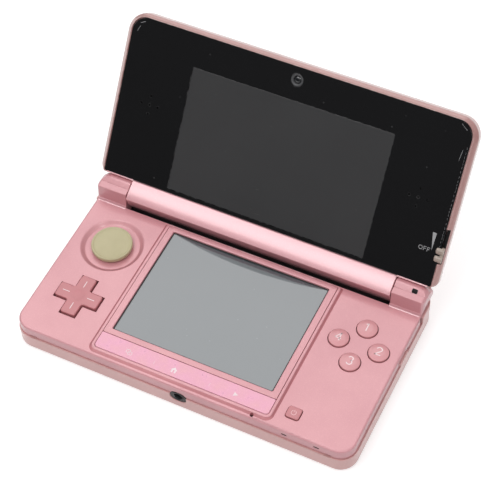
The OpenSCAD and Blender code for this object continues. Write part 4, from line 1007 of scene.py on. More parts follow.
@dataclass
class Shells:
    """The two housings of the base with everything cut into them.

    Attributes:
        half_w: Half width of the lower housing.
        half_d: Half depth of the lower housing.
        top: Height of the top face.
        seam: Height of the seam.
        corner: Corner radius in plan.
        foot: Rounding of the lower edge.
        roll: Rounding of the top edge.
        bosses: Places of the cover screws.
    """

    half_w: float = 65.5
    half_d: float = 37.0
    top: float = 11.3
    seam: float = 6.8
    corner: float = 6.5
    foot: float = 0.9
    roll: float = 0.85
    bosses: tuple[Point, ...] = ((59.3, -31.4), (-59.3, -31.4), (57.5, 29.4), (-57.5, 29.4))

    def body_ring(self, inset: float, z: float) -> Ring:
        """Ring of the outer side.

        Args:
            inset: Distance in from the lower housing's side.
            z: Height.

        Returns:
            The ring.
        """
        return at_height(centred(2 * (self.half_w - inset), 2 * (self.half_d - inset),
                                 max(self.corner - inset, 0.1), steps=12), z)

    def trough(self) -> Shape:
        """Room of the lid's barrel and of the open lid.

        Returns:
            The cutter.
        """
        section = [(-4.9, 60.0), (-4.9, -5.069)] + arc(0, 0, 7.05, 227.0, 296.6, 28)
        section += [(56.6, 21.0), (56.6, 60.0)]
        world = [(HINGE.y + y, HINGE.z + z) for y, z in section]
        return Shape().along_x(world, [(-52.8, 0), (52.8, 0)])

    def shoulder_room(self) -> list[Shape]:
        """Pockets of the shoulder buttons.

        Returns:
            The cutters.
        """
        outline = [(53.4, 40.0), (53.4, 33.3)] + arc(*SHOULDER_ARC, 3.0, 0, 90, 10)[::-1]
        outline += [(62.2, 24.0), (69.0, 24.0), (69.0, 40.0)]
        pockets, hubs = Shape(), Shape()
        x, y = SHOULDER_PIN
        for side in (1, -1):
            pockets.prism(mirrored(outline, side), 6.9, 10.8)
            hubs.rod(1.85, 6.95, 10.75, (side * x, y), 28)
        return [pockets, hubs]

    def side_openings(self) -> list[Shape]:
        """Windows of the switches, lights, strap and headphone jack.

        Returns:
            The cutters.
        """
        slots = Shape()
        slots.box((61.5, 5.17, 7.12), (68, 13.53, 8.78))
        slots.box((-68, -20.43, 7.12), (-61.5, -7.57, 8.78))
        for x in STATUS_LIGHTS_X:
            slots.box((x - 1, -39, 8.35), (x + 1, -33.9, 9.25))
        for x in STRAP_SLOTS_X:
            slots.box((x - 1.375, -39, 6.65), (x + 1.375, -34.5, 7.55))
        back = placed((JACK_AT[0], -38.0, JACK_AT[1]), -90, "X")
        jack = Shape().prism(centred(6.5, 4.7, 2.34, steps=12), 0, 3.25).moved(back)
        bore = Shape().rod(2.45, 0.5, 13.6, steps=36).moved(back)
        return [slots, jack, bore]

    def upper(self) -> None:
        """Upper housing with its ears and raised screen frame."""
        soft = [(0.52 + self.roll * (1 - math.cos(a)), self.top - self.roll + self.roll * math.sin(a))
                for a in (math.radians(90 * i / 7) for i in range(8))]
        rings = [self.body_ring(0.9, 6.9), self.body_ring(0.85, 6.98), self.body_ring(0.46, 7.14)]
        rings += [self.body_ring(inset, z) for inset, z in soft]
        block = Shape().loft(rings)
        inside = Shape().prism(plan(-63.6, 63.6, -35.1, 24.15, (5, 0.5, 0.5, 5)), 5.0, 9.8)
        for x, y in self.bosses[2:]:
            inside.rod(0.95, 5.0, 9.6, (x, y), 20)
        top = Shape().prism(centred(64.7, 49.1, 0.5, TOUCH_AT), *THROUGH)
        for _, at in ROUND_BUTTONS.values():
            top.rod(3.93, *THROUGH, at, 72)
        top.prism(centred(5.31, 4.91, 1.08, POWER_AT), *THROUGH)
        for x in STRIP_KEYS_X:
            top.prism(centred(13.36, 3.56, 0.8, (x, -30.2)), *THROUGH)
        top.prism(cross_plan(0.42), *THROUGH)
        top.rod(0.65, *THROUGH, MICROPHONE_AT, 24)
        bowl = [(0, 9.9), (9.85, 9.9), (10.1, 9.98), (10.4, 10.2), (10.75, 10.48), (11.06, 10.76),
                (11.3, 10.97), (11.5, 11.12), (11.72, 11.23), (11.95, 11.31), (12.0, 12.5), (0, 12.5)]
        dish = Shape().lathe(bowl, (*PAD_AT, 0), 96)
        stem = Shape().rod(5.1, 9.0, 10.5, PAD_AT, 40)
        block.carved(inside, top, dish, stem, self.trough(), *self.shoulder_room(), *self.side_openings())
        block.soften(0.09, 34.0, 2)
        block.take(self.raised_frame().bm)
        block.take(self.ears().bm)
        block.piece("upper_housing", SATIN, Body.BASE, stands_for=["upper_shell"])

    def trough_shade(self) -> None:
        """Black sheet laid over the trough behind the barrel: painted shade for the dark gap there."""
        face = [(-4.84, -3.3), (-4.84, -5.0)] + arc(0, 0, 6.96, 228.0, 296.0, 24)
        back = arc(0, 0, 7.03, 227.4, 296.4, 24)[::-1] + [(-4.89, -5.1), (-4.89, -3.3)]
        section = [(HINGE.y + y, HINGE.z + z) for y, z in face + back]
        Shape().along_x(section, [(-52.7, 0), (52.7, 0)]).piece("trough_painted_shade", BLACK, Body.BASE)

    def raised_frame(self) -> Shape:
        """Raised border round the screen surround and the key strip; its sloped foot is a separate piece in a
        darker pink that paints the slope's shade.

        Returns:
            The shape.
        """
        def ring(out: float, z: float) -> Ring:
            r = 2.4 + out
            return at_height(plan(-35.1 - out, 35.1 + out, -34.95 - 1.3 * out, 24.3 + out * 0.3,
                                  (r, 0.35, 0.35, r), 8), z)

        def inner(out: float, z: float) -> Ring:
            return at_height(plan(-33.75 - out, 33.75 + out, -33.55 - out, 24.15 + out,
                                  (1.3, 0.4, 0.4, 1.3), 8), z)

        foot = [ring(0.46, 11.2), ring(0.44, 11.3), ring(0.3, 11.36), ring(-0.3, 11.9), ring(-0.36, 11.9),
                ring(-0.36, 11.2)]
        rim = [ring(-0.3, 11.2), ring(-0.3, 11.92), ring(-0.38, 12.02), ring(-0.5, 12.08), ring(-0.62, 12.1),
               inner(0.26, 12.1), inner(0.1, 12.05), inner(0.0, 11.94), inner(0.0, 11.2)]
        hole = Shape().rod(0.65, *THROUGH, MICROPHONE_AT, 24)
        skirt, border = (Shape().loft(rings, closed=True).carved(bore_copy(hole)) for rings in (foot, rim))
        # The slope gets the darker copy of the satin pink: painted shade.
        skirt.piece("frame_skirt", SKIRT_SHADE, Body.BASE)
        return border

    def ears(self) -> Shape:
        """Two ears that hold the lid's barrel, with the seat of the notification light.

        Returns:
            The shape.
        """
        def lower(inset: float, cap: float = 9.0) -> list[Point]:
            raw = [(-4.75 + inset, -3.1), (-3.9 + inset, 3.5 - inset), (-1.55, 3.8 - 1.2 * inset),
                   (5.1 - inset, 1.2 - inset), (5.9 - inset, -0.3), (6.55 - inset, -1.8), (6.6 - inset, -3.1)]
            return [(y, min(z, cap)) for y, z in raw]

        def crown(inset: float) -> list[Point]:
            h = 5.25 - inset
            return [(-1.55 + inset, -3.1), (-1.55 + inset, 3.8 - inset), (-0.1, h - 0.32), (0.35, h),
                    (1, h - 0.13), (2.6, h - 0.7), (4.3 - inset, 3 - inset), (5.1 - inset, 1.2 - inset),
                    (5.9 - inset, -0.3), (6.6 - inset, -3.1)]

        out = Shape()
        feet = Shape()
        for side in (1, -1):
            def points(section: Sequence[Point], *stations: float) -> list[tuple[float, float, float]]:
                return [(side * x, HINGE.y + y, HINGE.z + z) for x in stations for y, z in section]

            low = points(lower(0), 52.8, 64.3) + points(lower(0.5, 3.15), 64.9)
            low += points([(-2.7, -0.6), (-2.7, 2.4), (-1.9, 2.9), (2, 2.6), (4.6, 0.2), (4.6, -0.6)], 65.2)
            low += points([(-3.8, -3.1), (-3.8, -1), (5.6, -1), (5.6, -3.1)], 64.9)
            high = points(crown(0), 52.8, 61.2) + points(crown(0.5), 63.4)
            high += points([(-2.2, 0), (-2.2, 2.7), (-1.4, 3.15), (1.8, 3.1), (4.4, 0.9), (4.4, 0)], 64.9)
            foot = [(0.05, -3.1), (-0.95, -3.06), (-0.66, -2.98), (-0.38, -2.8), (-0.16, -2.5), (0.0, -2.1),
                    (0.3, -2.1), (0.3, -3.1)]
            pin = placed((side * 52.0, HINGE.y, HINGE.z), 90 * side, "Y")
            bore = Shape().rod(2.86, 0, 10.0 if side > 0 else 8.5, steps=40).moved(pin)
            for body in (Shape().hull(low, 0.3, 12.0), Shape().hull(high, 0.32, 12.0)):
                cutters = [bore_copy(bore)]
                if side > 0:
                    cutters.append(Shape().prism(centred(2.1, 1.7, 0.45), -1.25, 3.0).moved(LIGHT_PLACE))
                out.take(body.carved(*cutters).bm)
            bore.bm.free()
            feet.along_x([(HINGE.y - 4.75 + y, HINGE.z + z) for y, z in foot],
                         [(side * 52.85, 0), (side * 64.2, 0)])
        feet.piece("ear_feet", BARREL, Body.BASE)
        return out

    def lower(self) -> None:
        """Lower housing with its rounded foot, openings and screw bosses."""
        r = self.foot
        rings = [self.body_ring(r * (1 - math.cos(a)), r - r * math.sin(a))
                 for a in (math.radians(90 - 90 * i / 6) for i in range(7))]
        rings += [self.body_ring(0.0, 6.6), self.body_ring(0.03, 6.72), self.body_ring(0.12, self.seam)]
        block = Shape().loft(rings)
        cavity = Shape().prism(centred(128, 71, 5.0), 1.4, 9.0)
        stylus = placed((STYLUS_AT[0], 35.0, STYLUS_AT[1]), -90, "X")
        pen = Shape().rod(2.2, 0, 4, steps=36).moved(stylus)
        rear = Shape()
        rear.box((-30.6, 35.2, 1.95), (3.6, 39, 8.0))
        rear.box((40.5, 35.2, 2.9), (49.5, 39, 5.5))
        rear.box((24.45, 35.2, 2.55), (35.55, 39, 5.85))
        rear.take(pen.bm)
        for x in (-1, 1):
            rear.box((36 + 2.2 * x - 0.85, 30.95, -1), (36 + 2.2 * x + 0.85, 34.05, 2.0))
        rear.box((-68, 1.15, 2.45), (-63.75, 26.85, 6.15))
        door = Shape().box((-64.5, 4.5, 2.6), (-62.5, 26.2, 5.7))
        door.rod(0.45, 1.8, 6.75, DOOR_PIN_AT, 16)
        heads = Shape()
        for at in self.bosses:
            heads.rod(1.9, -1, 1.6, at, 40)
        block.carved(cavity, rear, door, heads, *self.side_openings())
        block.soften(0.09, 34.0, 2)
        for x, y in self.bosses:
            block.lathe([(1.9, 1.3), (1.9, 1.9), (1.0, 1.9), (1.0, 6.7), (2.3, 6.7), (2.3, 1.3)], (x, y, 0),
                        32)
        block.piece("lower_housing", SIDE, Body.BASE, stands_for=["lower_shell"])


THROUGH = (9.0, 13.0)
LIGHT_PLACE = Matrix.Translation((60.45, 29.23, 18.665)) @ Matrix.Rotation(math.atan2(1.13, 1.45), 4, "X")


def bore_copy(shape: Shape) -> Shape:
    """Copies a cutter so that it can be used again.

    Args:
        shape: The cutter.

    Returns:
        The copy.
    """
    out = Shape()
    out.bm.free()
    out.bm = shape.bm.copy()
    return out


def cross_plan(gap: float = 0.0) -> list[Point]:
    """Outline of the direction pad.

    Args:
        gap: Distance out from the outline.

    Returns:
        The twelve corners, counter-clockwise.
    """
    s, a = CROSS_SPAN / 2 + gap, CROSS_ARM / 2 + gap
    raw = [(s, -a), (s, a), (a, a), (a, s), (-a, s), (-a, a), (-s, a), (-s, -a), (-a, -a), (-a, -s), (a, -s),
           (a, -a)]
    return [(CROSS_AT[0] + x, CROSS_AT[1] + y) for x, y in raw]


@dataclass
class ScreenFrame:
    """Surround, touch screen and key strip in the raised frame.

    Attributes:
        bow_depth: How far the bow of the touch film reaches in from the rear edge.
        bow_slope: Slope of the bowed film.
    """

    bow_depth: float = 3.6
    bow_slope: float = 0.11

    def build(self) -> None:
        """Makes the three sheets."""
        def outer(out: float, z: float) -> Ring:
            return at_height(plan(-33.62 - out, 33.62 + out, -26.71 - out, 24.04 + out,
                                  (0.3, 0.4, 0.4, 0.3), 6), z)

        def window(out: float, z: float) -> Ring:
            return at_height(plan(-31.1 - out, 31.1 + out, -24.4 - out, 22.2 + out, (0.45,) * 4, 6), z)

        rings = [outer(0, 11.33), outer(0, 11.96), outer(-0.05, 12.07), outer(-0.17, 12.13),
                 window(0.42, 12.13), window(0.2, 12.09), window(0.06, 11.98), window(0, 11.8),
                 window(0, 11.33)]
        surround = Shape().loft(rings, closed=True)
        surround.piece("screen_surround_skin", SATIN, Body.BASE, stands_for=["screen_surround"])
        self.touch_sheet()
        film = [at_height(plan(-33.62 + i, 33.62 - i, -33.42 + i, -26.87 - i, (1.25, 0.25, 0.25, 1.25), 6), z)
                for i, z in ((0.0, 11.67), (0.0, 11.95), (0.05, 12.03), (0.16, STRIP_TOP))]
        Shape().loft(film).piece("key_strip_sheet", STRIP, Body.BASE, stands_for=["key_strip_film"])
        border = [at_height(centred(64.0 - 2 * i, 48.4 - 2 * i, 0.4, TOUCH_AT), z)
                  for i, z in ((0.0, 11.305), (0.0, 11.325), (1.32, 11.325), (1.32, 11.305))]
        Shape().loft(border, closed=True).piece("touch_border", BLACK, Body.BASE)

    def touch_sheet(self) -> None:
        """Touch film, taut in the middle and bowed down along its rear edge."""
        sheet = Shape()
        wide, deep = 64.6, 49.0
        place = Matrix.Translation((*TOUCH_AT, 10.4)) @ Matrix.Diagonal((wide / 2, deep / 2, 1, 1))
        bmesh.ops.create_grid(sheet.bm, x_segments=64, y_segments=96, size=1.0, matrix=place)
        drawn = bmesh.ops.extrude_face_region(sheet.bm, geom=sheet.bm.faces[:])["geom"]
        for vert in (v for v in drawn if isinstance(v, bmesh.types.BMVert)):
            start = 21.6 - self.bow_depth * max(1 - (vert.co.x / 31.1) ** 2, 0.0)
            past = max(vert.co.y - start, 0.0)
            ramp = min(past / 0.8, 1.0)
            vert.co.z = 11.3 - self.bow_slope * (past - 0.4 if past > 0.8 else 0.4 * ramp * ramp)
        bmesh.ops.recalc_face_normals(sheet.bm, faces=sheet.bm.faces)
        sheet.piece("touch_sheet", TOUCH, Body.BASE, stands_for=["touch_panel"])


@dataclass
class Controls:
    """Circle pad, direction pad, round buttons and power button."""

    def build(self) -> None:
        """Makes the caps."""
        self.circle_pad()
        self.direction_pad()
        for name, (body, at) in ROUND_BUTTONS.items():
            self.round_button(name, body, at)
        flange, cap = (6.15, 5.75), (4.95, 4.55)
        rings = [at_height(centred(*size, 0.9, POWER_AT), z)
                 for size, z in ((flange, 9.0), (flange, 9.65), (cap, 9.65), (cap, 11.64))]
        rings += [at_height(centred(cap[0] - 2 * i, cap[1] - 2 * i, 0.9 - i, POWER_AT), z)
                  for i, z in ((0.04, 11.76), (0.13, 11.88), (0.28, 11.94), (0.45, POWER_TOP))]
        Shape().loft(rings).piece("power_cap_skin", ROSE, Body.POWER, stands_for=["power_button"])

    def circle_pad(self) -> None:
        """Cap with a raised rim and a shallow dish, on its stem."""
        profile = [(0, 8.75), (2.5, 8.75), (2.5, 10.35), (6.75, 10.35), (7.2, 10.55), (7.5, 10.85),
                   (7.6, 11.2), (7.6, 12.05)]
        profile += arc(7.15, 12.05, 0.45, 15, 105, 6)
        profile += [(6.86, 12.4), (6.62, 12.24), (6.3, 12.14), (5.2, 12.0), (3.8, 11.88), (2.0, 11.79),
                    (0, 11.75)]
        cap = Shape().lathe(profile, (*PAD_AT, 0), 96)
        cap.piece("circle_pad_cap", BEIGE, Body.PAD, smooth=50, stands_for=["circle_pad"])

    def direction_pad(self) -> None:
        """Cross with rounded corners and edges and a dished middle."""
        cap = Shape().prism(cross_plan(), 8.4, CROSS_TOP)
        uprights = [e for e in cap.bm.edges if abs(e.verts[0].co.z - e.verts[1].co.z) > 1]
        bevel(cap.bm, uprights, 0.85, 4)
        rim = [e for e in cap.bm.edges if min(v.co.z for v in e.verts) > CROSS_TOP - 0.1]
        bevel(cap.bm, rim, 0.45, 4)
        dish = Shape().lathe(arc(0, 26.08, 14, 270, 285, 12) + [(3.1, 13.4), (0, 13.4)], (*CROSS_AT, 0), 64)
        cap.carved(dish)
        cap.rod(8.6, 8.4, 8.8, CROSS_AT, 48)
        cap.piece("direction_pad_cap", ROSE, Body.CROSS, smooth=40, stands_for=["direction_pad"])

    def round_button(self, name: str, body: Body, at: Point) -> None:
        """Round cap with a flange and a gently domed top.

        Args:
            name: Compass name of the button.
            body: Its body.
            at: Its centre.
        """
        top = BUTTON_TOP
        profile = [(0, 9.0), (4.3, 9.0), (4.3, 9.65), (3.7, 9.65), (3.7, top - 0.72)]
        profile += [(3.22 + 0.48 * math.cos(a), top - 0.76 + 0.42 * math.sin(a))
                    for a in (math.radians(15 * i) for i in range(1, 6))]
        profile += [(3.0, top - 0.28), (2.6, top - 0.17), (2.1, top - 0.07), (1.7, top - 0.02), (0, top)]
        Shape().lathe(profile, (*at, 0), 72).piece(f"{name}_cap_skin", CAP, body, smooth=50,
                                                   stands_for=[f"button_{name}"])


@dataclass
class SideParts:
    """Shoulder buttons, switches, card door, jack, lights and the parts at the back."""

    def build(self) -> None:
        """Makes the pieces."""
        for side, body, node in ((1, Body.RIGHT_SHOULDER, "right_shoulder_button"),
                                 (-1, Body.LEFT_SHOULDER, "left_shoulder_button")):
            self.shoulder(side, body, node)
        self.ridged_knob("wireless_knob_skin", 1, 8.6, 6.5, Body.WIRELESS, "wireless_switch")
        self.ridged_knob("volume_knob_skin", -1, -14.0, 5.5, Body.VOLUME, "volume_slider")
        self.card_door()
        self.jack()
        self.lights()
        self.stylus_end()

    def shoulder(self, side: int, body: Body, node: str) -> None:
        """Skin wrapped round a rear corner, with its pivot hub.

        Args:
            side: 1 for right, -1 for left.
            body: Its body.
            node: CAD node that it replaces.
        """
        outline = [(65.7, 25.2), (65.7, 30.3)] + arc(*SHOULDER_ARC, 6.5, 0, 90, 16)[1:]
        outline += [(55.5, 36.8), (55.5, 34.5)] + arc(*SHOULDER_ARC, 4.2, 90, 0, 12) + [(63.4, 25.2)]
        skin = Shape().prism(mirrored(outline, side), 7.05, 10.65).soften(0.3, 50.0, 3)
        hub = [(0.86, 7.45), (1.6, 7.45), (1.6, 10.25), (0.86, 10.25)]
        skin.lathe(hub, (side * SHOULDER_PIN[0], SHOULDER_PIN[1], 0), 32)
        skin.prism(mirrored(plan(56.3, 58.7, 33.8, 35.6, (0.1,) * 4, 2), side), 7.45, 10.25)
        skin.piece(node.replace("_button", "_skin"), SIDE, body, smooth=40, stands_for=[node])

    def ridged_knob(self, name: str, side: int, y: float, length: float, body: Body, node: str) -> None:
        """Sliding knob with five ridges.

        Args:
            name: Name of the piece.
            side: 1 for right, -1 for left.
            y: Middle of the knob.
            length: Length of the knob.
            body: Its body.
            node: CAD node that it replaces.
        """
        comb = [(62.25, -length / 2), (65.12, -length / 2)]
        for k in range(-2, 3):
            a, b = k * length / 5.4 - length / 14, k * length / 5.4 + length / 14
            comb += [(65.12, a - 0.12), (65.55, a), (65.65, a + 0.12)]
            comb += [(65.65, b - 0.12), (65.55, b), (65.12, b + 0.12)]
        comb += [(65.12, length / 2), (62.25, length / 2)]
        clean = [(x, y + v) for i, (x, v) in enumerate(comb)
                 if i == 0 or math.dist((x, v), comb[i - 1]) > 0.02]
        knob = Shape().prism(mirrored(clean, side), 7.3, 8.6).soften(0.07, 60.0, 2)
        flange = plan(62.4, 63.3, y - length / 2 - 1.2, y + length / 2 + 1.2, (0.05,) * 4, 1)
        knob.prism(mirrored(flange, side), 6.96, 8.95)
        knob.piece(name, SIDE, body, stands_for=[node])

    def card_door(self) -> None:
        """Memory card door with a rounded hinge end and a finger notch."""
        outline = [(-63.85, 2.1), (-63.85, 26.7), (-64.9, 26.7), (-64.9, 25.9), (-65.0, 25.5), (-64.9, 24.7),
                   (-65.45, 24.7), (-65.45, 2.1)]
        outline += arc(*DOOR_PIN_AT, 0.8, 198, 342, 8)
        door = Shape().prism(outline, 2.6, 6.0).soften(0.16, 50.0, 2)
        door.carved(Shape().rod(0.46, 2.0, 6.6, DOOR_PIN_AT, 20))
        door.piece("card_door_skin", SIDE, Body.DOOR, stands_for=["memory_card_door"])

    def jack(self) -> None:
        """Oval jack face with a rolled rim, a black body and a metal contact sleeve."""
        turn = placed((JACK_AT[0], -36.75, JACK_AT[1]), -90, "X")
        rings = [(6.3, 4.5, 2.0), (6.3, 4.5, 0.35), (6.3, 4.5, 0.12), (6.1, 4.3, 0.02), (5.7, 3.9, 0.0),
                 (5.3, 3.85, 0.1)]
        face = Shape().loft([at_height(centred(w, d, d / 2 - 0.01, steps=12), z) for w, d, z in rings])
        face.carved(Shape().rod(1.82, -1, 3))
        face.moved(turn)
        face.lathe([(1.82, 0.1), (1.95, 0.0), (2.2, 0.0), (2.25, 0.1), (2.25, 12.2), (1.82, 12.2)], steps=48,
                   turn=turn)
        face.piece("jack_body_skin", BLACK, Body.BASE, stands_for=["headphone_jack"])
        sleeve = Shape().lathe([(1.8, 0.25), (1.815, 0.2), (1.79, 0.16), (1.74, 0.2), (1.74, 3.4),
                                (1.8, 3.4)],
                               steps=48, turn=turn)
        sleeve.lathe([(0, 9.6), (1.78, 9.6), (1.78, 9.9), (0, 9.9)], steps=32, turn=turn)
        sleeve.piece("jack_sleeve", STEEL, Body.BASE)

    def lights(self) -> None:
        """Status light lenses in the front side, the notification lens and its ring."""
        pipes = Shape()
        for x in STATUS_LIGHTS_X:
            lens = [[Vector((x + p, y, 8.8 + q)) for p, q in centred(1.9 - 2 * i, 0.8 - 2 * i, 0.3, steps=4)]
                    for i, y in ((0.0, -33.2), (0.0, -36.25), (0.06, -36.38), (0.16, -36.42))]
            pipes.loft(lens)
            pipes.box((x - 0.95, -33.6, 7.4), (x + 0.95, -32.4, 8.8))
        pipes.piece("status_lenses", SMOKED, Body.BASE, stands_for=["status_light_pipes"])
        lens = [at_height(centred(2.0 - 2 * i, 1.6 - 2 * i, 0.4, steps=5), z)
                for i, z in ((0.0, -1.2), (0.0, -0.16), (0.05, -0.08), (0.18, -0.04))]
        cover = Shape().loft(lens).moved(LIGHT_PLACE)
        cover.piece("notification_lens", SMOKED, Body.BASE, stands_for=["notification_light"])
        ring = [at_height(centred(w, d, r, steps=5), z) for w, d, r, z in
                ((2.1, 1.7, 0.42, -0.3), (2.1, 1.7, 0.42, 0.035), (2.3, 1.9, 0.5, 0.06),
                 (2.5, 2.1, 0.6, 0.02), (2.5, 2.1, 0.6, -0.3))]
        Shape().loft(ring, closed=True).moved(LIGHT_PLACE).piece("notification_ring", BARREL, Body.BASE)

    def stylus_end(self) -> None:
        """End of the telescoping stylus with its flat cap, rim and grip groove."""
        profile = [(0, 0.2), (1.5, 0.2), (1.82, 0.26), (2.0, 0.42), (2.08, 0.7), (2.1, 1.1), (2.1, 1.9),
                   (1.92, 2.0), (1.92, 2.35), (2.1, 2.45), (2.1, 39.68), (1.66, 39.68), (1.66, 9.2), (0, 9.2)]
        turn = placed((STYLUS_AT[0], 37.0, STYLUS_AT[1]), 90, "X")
        end = Shape().lathe(profile, steps=48, turn=turn)
        end.piece("stylus_barrel_skin", BLACK, Body.PEN, smooth=40, stands_for=["stylus_barrel"])


# Lid


@dataclass
class Lid:
    """Bezel with its barrel, cover, black panel, screen, cameras and depth knob."""

    half_w: float = 67.0
    low: float = 5.5
    reach: float = 67.4

    def ring(self, inset: float, m: float, low_inset: float = 0.0, top_inset: float | None = None,
             r_low: float = 2.6, r_top: float = 7.5) -> Ring:
        """Ring of the lid's outline.

        Args:
            inset: Inset of the sides.
            m: Height out of the display.
            low_inset: Inset of the edge over the ears.
            top_inset: Inset of the free edge, the sides' inset if not given.
            r_low: Radius over the ears.
            r_top: Radius at the free edge.

        Returns:
            The ring.
        """
        top = inset if top_inset is None else top_inset
        rl, rt = max(r_low - inset, 0.15), max(r_top - inset, 0.15)
        return at_height(plan(-self.half_w + inset, self.half_w - inset, self.low + low_inset,
                              self.reach - top, (rl, rt, rt, rl), 12), m)

    def build(self) -> None:
        """Makes the lid's pieces."""
        self.bezel()
        self.cover()
        self.panel()
        self.cameras()
        self.knob()

    def bezel(self) -> None:
        """Rails, lip and barrel."""
        rails = [self.ring(0.12, -2.65, 0.1), self.ring(0.02, -2.5), self.ring(0.0, -0.3),
                 self.ring(0.06, -0.05), self.ring(0.26, 0.24), self.ring(0.6, 0.58),
                 self.ring(1.42, 1.22, 0.0, 0.86), self.ring(1.5, 1.3, 0.02, 0.9),
                 self.ring(1.58, 1.48, 0.04, 0.96), self.ring(1.7, 1.56, 0.1, 1.03)]
        rails += [self.ring(1.9, 1.56, 0.24, 1.1), self.ring(2.02, 1.48, 0.3, 1.16),
                  self.ring(2.05, 0.33, 0.3, 1.17), self.ring(4.2, 0.33, 3.4, 3.0),
                  self.ring(4.2, -2.65, 3.4, 3.0)]
        frame_part = Shape().loft(rails, closed=True)
        frame_part.carved(Shape().box((64.85, 14.75, -0.88), (66.34, 27.75, 4)),
                          Shape().box((60.35, 16.1, -2.8), (64.9, 26.3, 0.6)), join_flats=False)
        frame_part.soften(0.07, 50.0, 2)
        frame_part.piece("lid_rails", RAIL, Body.LID, lid=True, smooth=32)
        # Black sheets on the floor and wall of the knob's slot: painted shade inside the slot.
        slot = Shape().box((64.9, 14.8, -0.86), (66.3, 27.7, -0.8))
        slot.box((66.28, 14.8, -0.8), (66.33, 27.7, 0.42))
        slot.piece("depth_slot_painted_shade", BLACK, Body.LID, lid=True)
        barrel = Shape()
        front = [(-6.1, -2.65), (-5.9, -1.8), (-5.3, -0.9), (-4.35, 0.8), (-3.15, 2.38), (-1.0, 4.78),
                 (-0.85, 4.83), (-0.35, 4.71), (0.5, 4.47), (1.4, 4.17), (2.3, 3.82), (3.2, 3.42),
                 (4.1, 2.98), (4.9, 2.46), (5.62, 2.05), (5.74, 1.94), (5.8, 1.76), (5.8, -2.65)]
        barrel.along_x(front, [(-52.6, 0.28), (-52.52, 0.1), (-52.35, 0.0), (52.35, 0.0), (52.52, 0.1),
                               (52.6, 0.28)], (0.0, 0.0))
        lip = [(5.95, 0.9), (5.95, 1.4), (5.85, 1.56), (5.66, 1.62), (5.5, 1.54), (5.43, 1.36), (5.43, 0.9)]
        for side in (-1, 1):
            ends = [(side * 52.6, 0.0), (side * 63.6, 0.0), (side * 64.0, 0.2)]
            barrel.along_x(lip, ends, (5.7, 1.1))
        barrel.piece("lid_bezel", BARREL, Body.LID, lid=True, smooth=24, stands_for=["lid_frame"])

    def cover(self) -> None:
        """Cover with soft edges and the back of the barrel."""
        outside = [(3.2, -6.7), (2.45, -6.64), (1.85, -6.4), (1.3, -5.95), (0.9, -5.4), (0.6, -4.75),
                   (0.36, -3.9), (0.2, -3.1), (0.24, -2.86), (0.34, -2.8)]
        shell = [self.ring(i, m, i * 0.8) for i, m in outside]
        shell += [self.ring(1.6, -2.8, 1.2), self.ring(3.2, -5.4, 3.0)]
        cup = Shape().loft(shell)
        holes = Shape()
        for x in OUTER_CAMERAS_X:
            holes.rod(3.25, -8, -3, (x, OUTER_CAMERAS_Y), 56)
        cup.carved(holes)
        cup.soften(0.1, 50.0, 2)
        back = [(8.9, -6.69), (8.6, -6.7)] + arc(0, 0, 6.7, 270, 204.9, 22) + [(-5.6, -2.8), (8.9, -2.8)]
        cup.along_x(back[::-1], [(-52.6, 0.25), (-52.5, 0.08), (-52.3, 0.0), (52.3, 0.0), (52.5, 0.08),
                                 (52.6, 0.25)], (0.0, -2.0))
        cup.piece("lid_cover_skin", SIDE, Body.LID, lid=True, smooth=32, stands_for=["lid_cover"])

    def panel(self) -> None:
        """Black front panel with its openings, the display and its edge."""
        outline = plan(-64.9, 64.9, 5.85, 66.175, (0.8, 6.2, 6.2, 0.8), 10)
        sheet = Shape().prism(outline, 0.35, PANEL_TOP)
        holes = Shape().prism(centred(77.7, 46.7, 0.6, UPPER_SCREEN_AT), -1, 3)
        holes.rod(2.4, -1, 3, INNER_CAMERA_AT)
        for s in (-1, 1):
            for p, q in ((0, 0), (1, 0), (-1, 0), (0, 1), (0, -1)):
                holes.rod(0.42, -1, 3, (s * 52.4 + 3.35 * p, 35.4 + 3.35 * q), 20)
        sheet.soften(0.08, 50.0, 2)
        sheet.carved(holes)
        sheet.piece("front_panel_sheet", PANEL, Body.LID, lid=True, stands_for=["front_panel"])
        rings = [(79.4, 47.8, 0.8, -1.5), (79.4, 47.8, 0.8, 0.25), (77.6, 46.6, 0.6, 0.25)]
        rings += [(77.6 - 2 * i, 46.6 - 2 * i, 0.6, m) for i, m in ((0.0, 1.16), (0.05, 1.21), (0.14, 1.22))]
        rings = [at_height(centred(w, d, r, UPPER_SCREEN_AT), m) for w, d, r, m in rings]
        display = Shape().loft(rings)
        display.piece("upper_screen_sheet", SCREEN, Body.LID, lid=True, stands_for=["upper_display"])

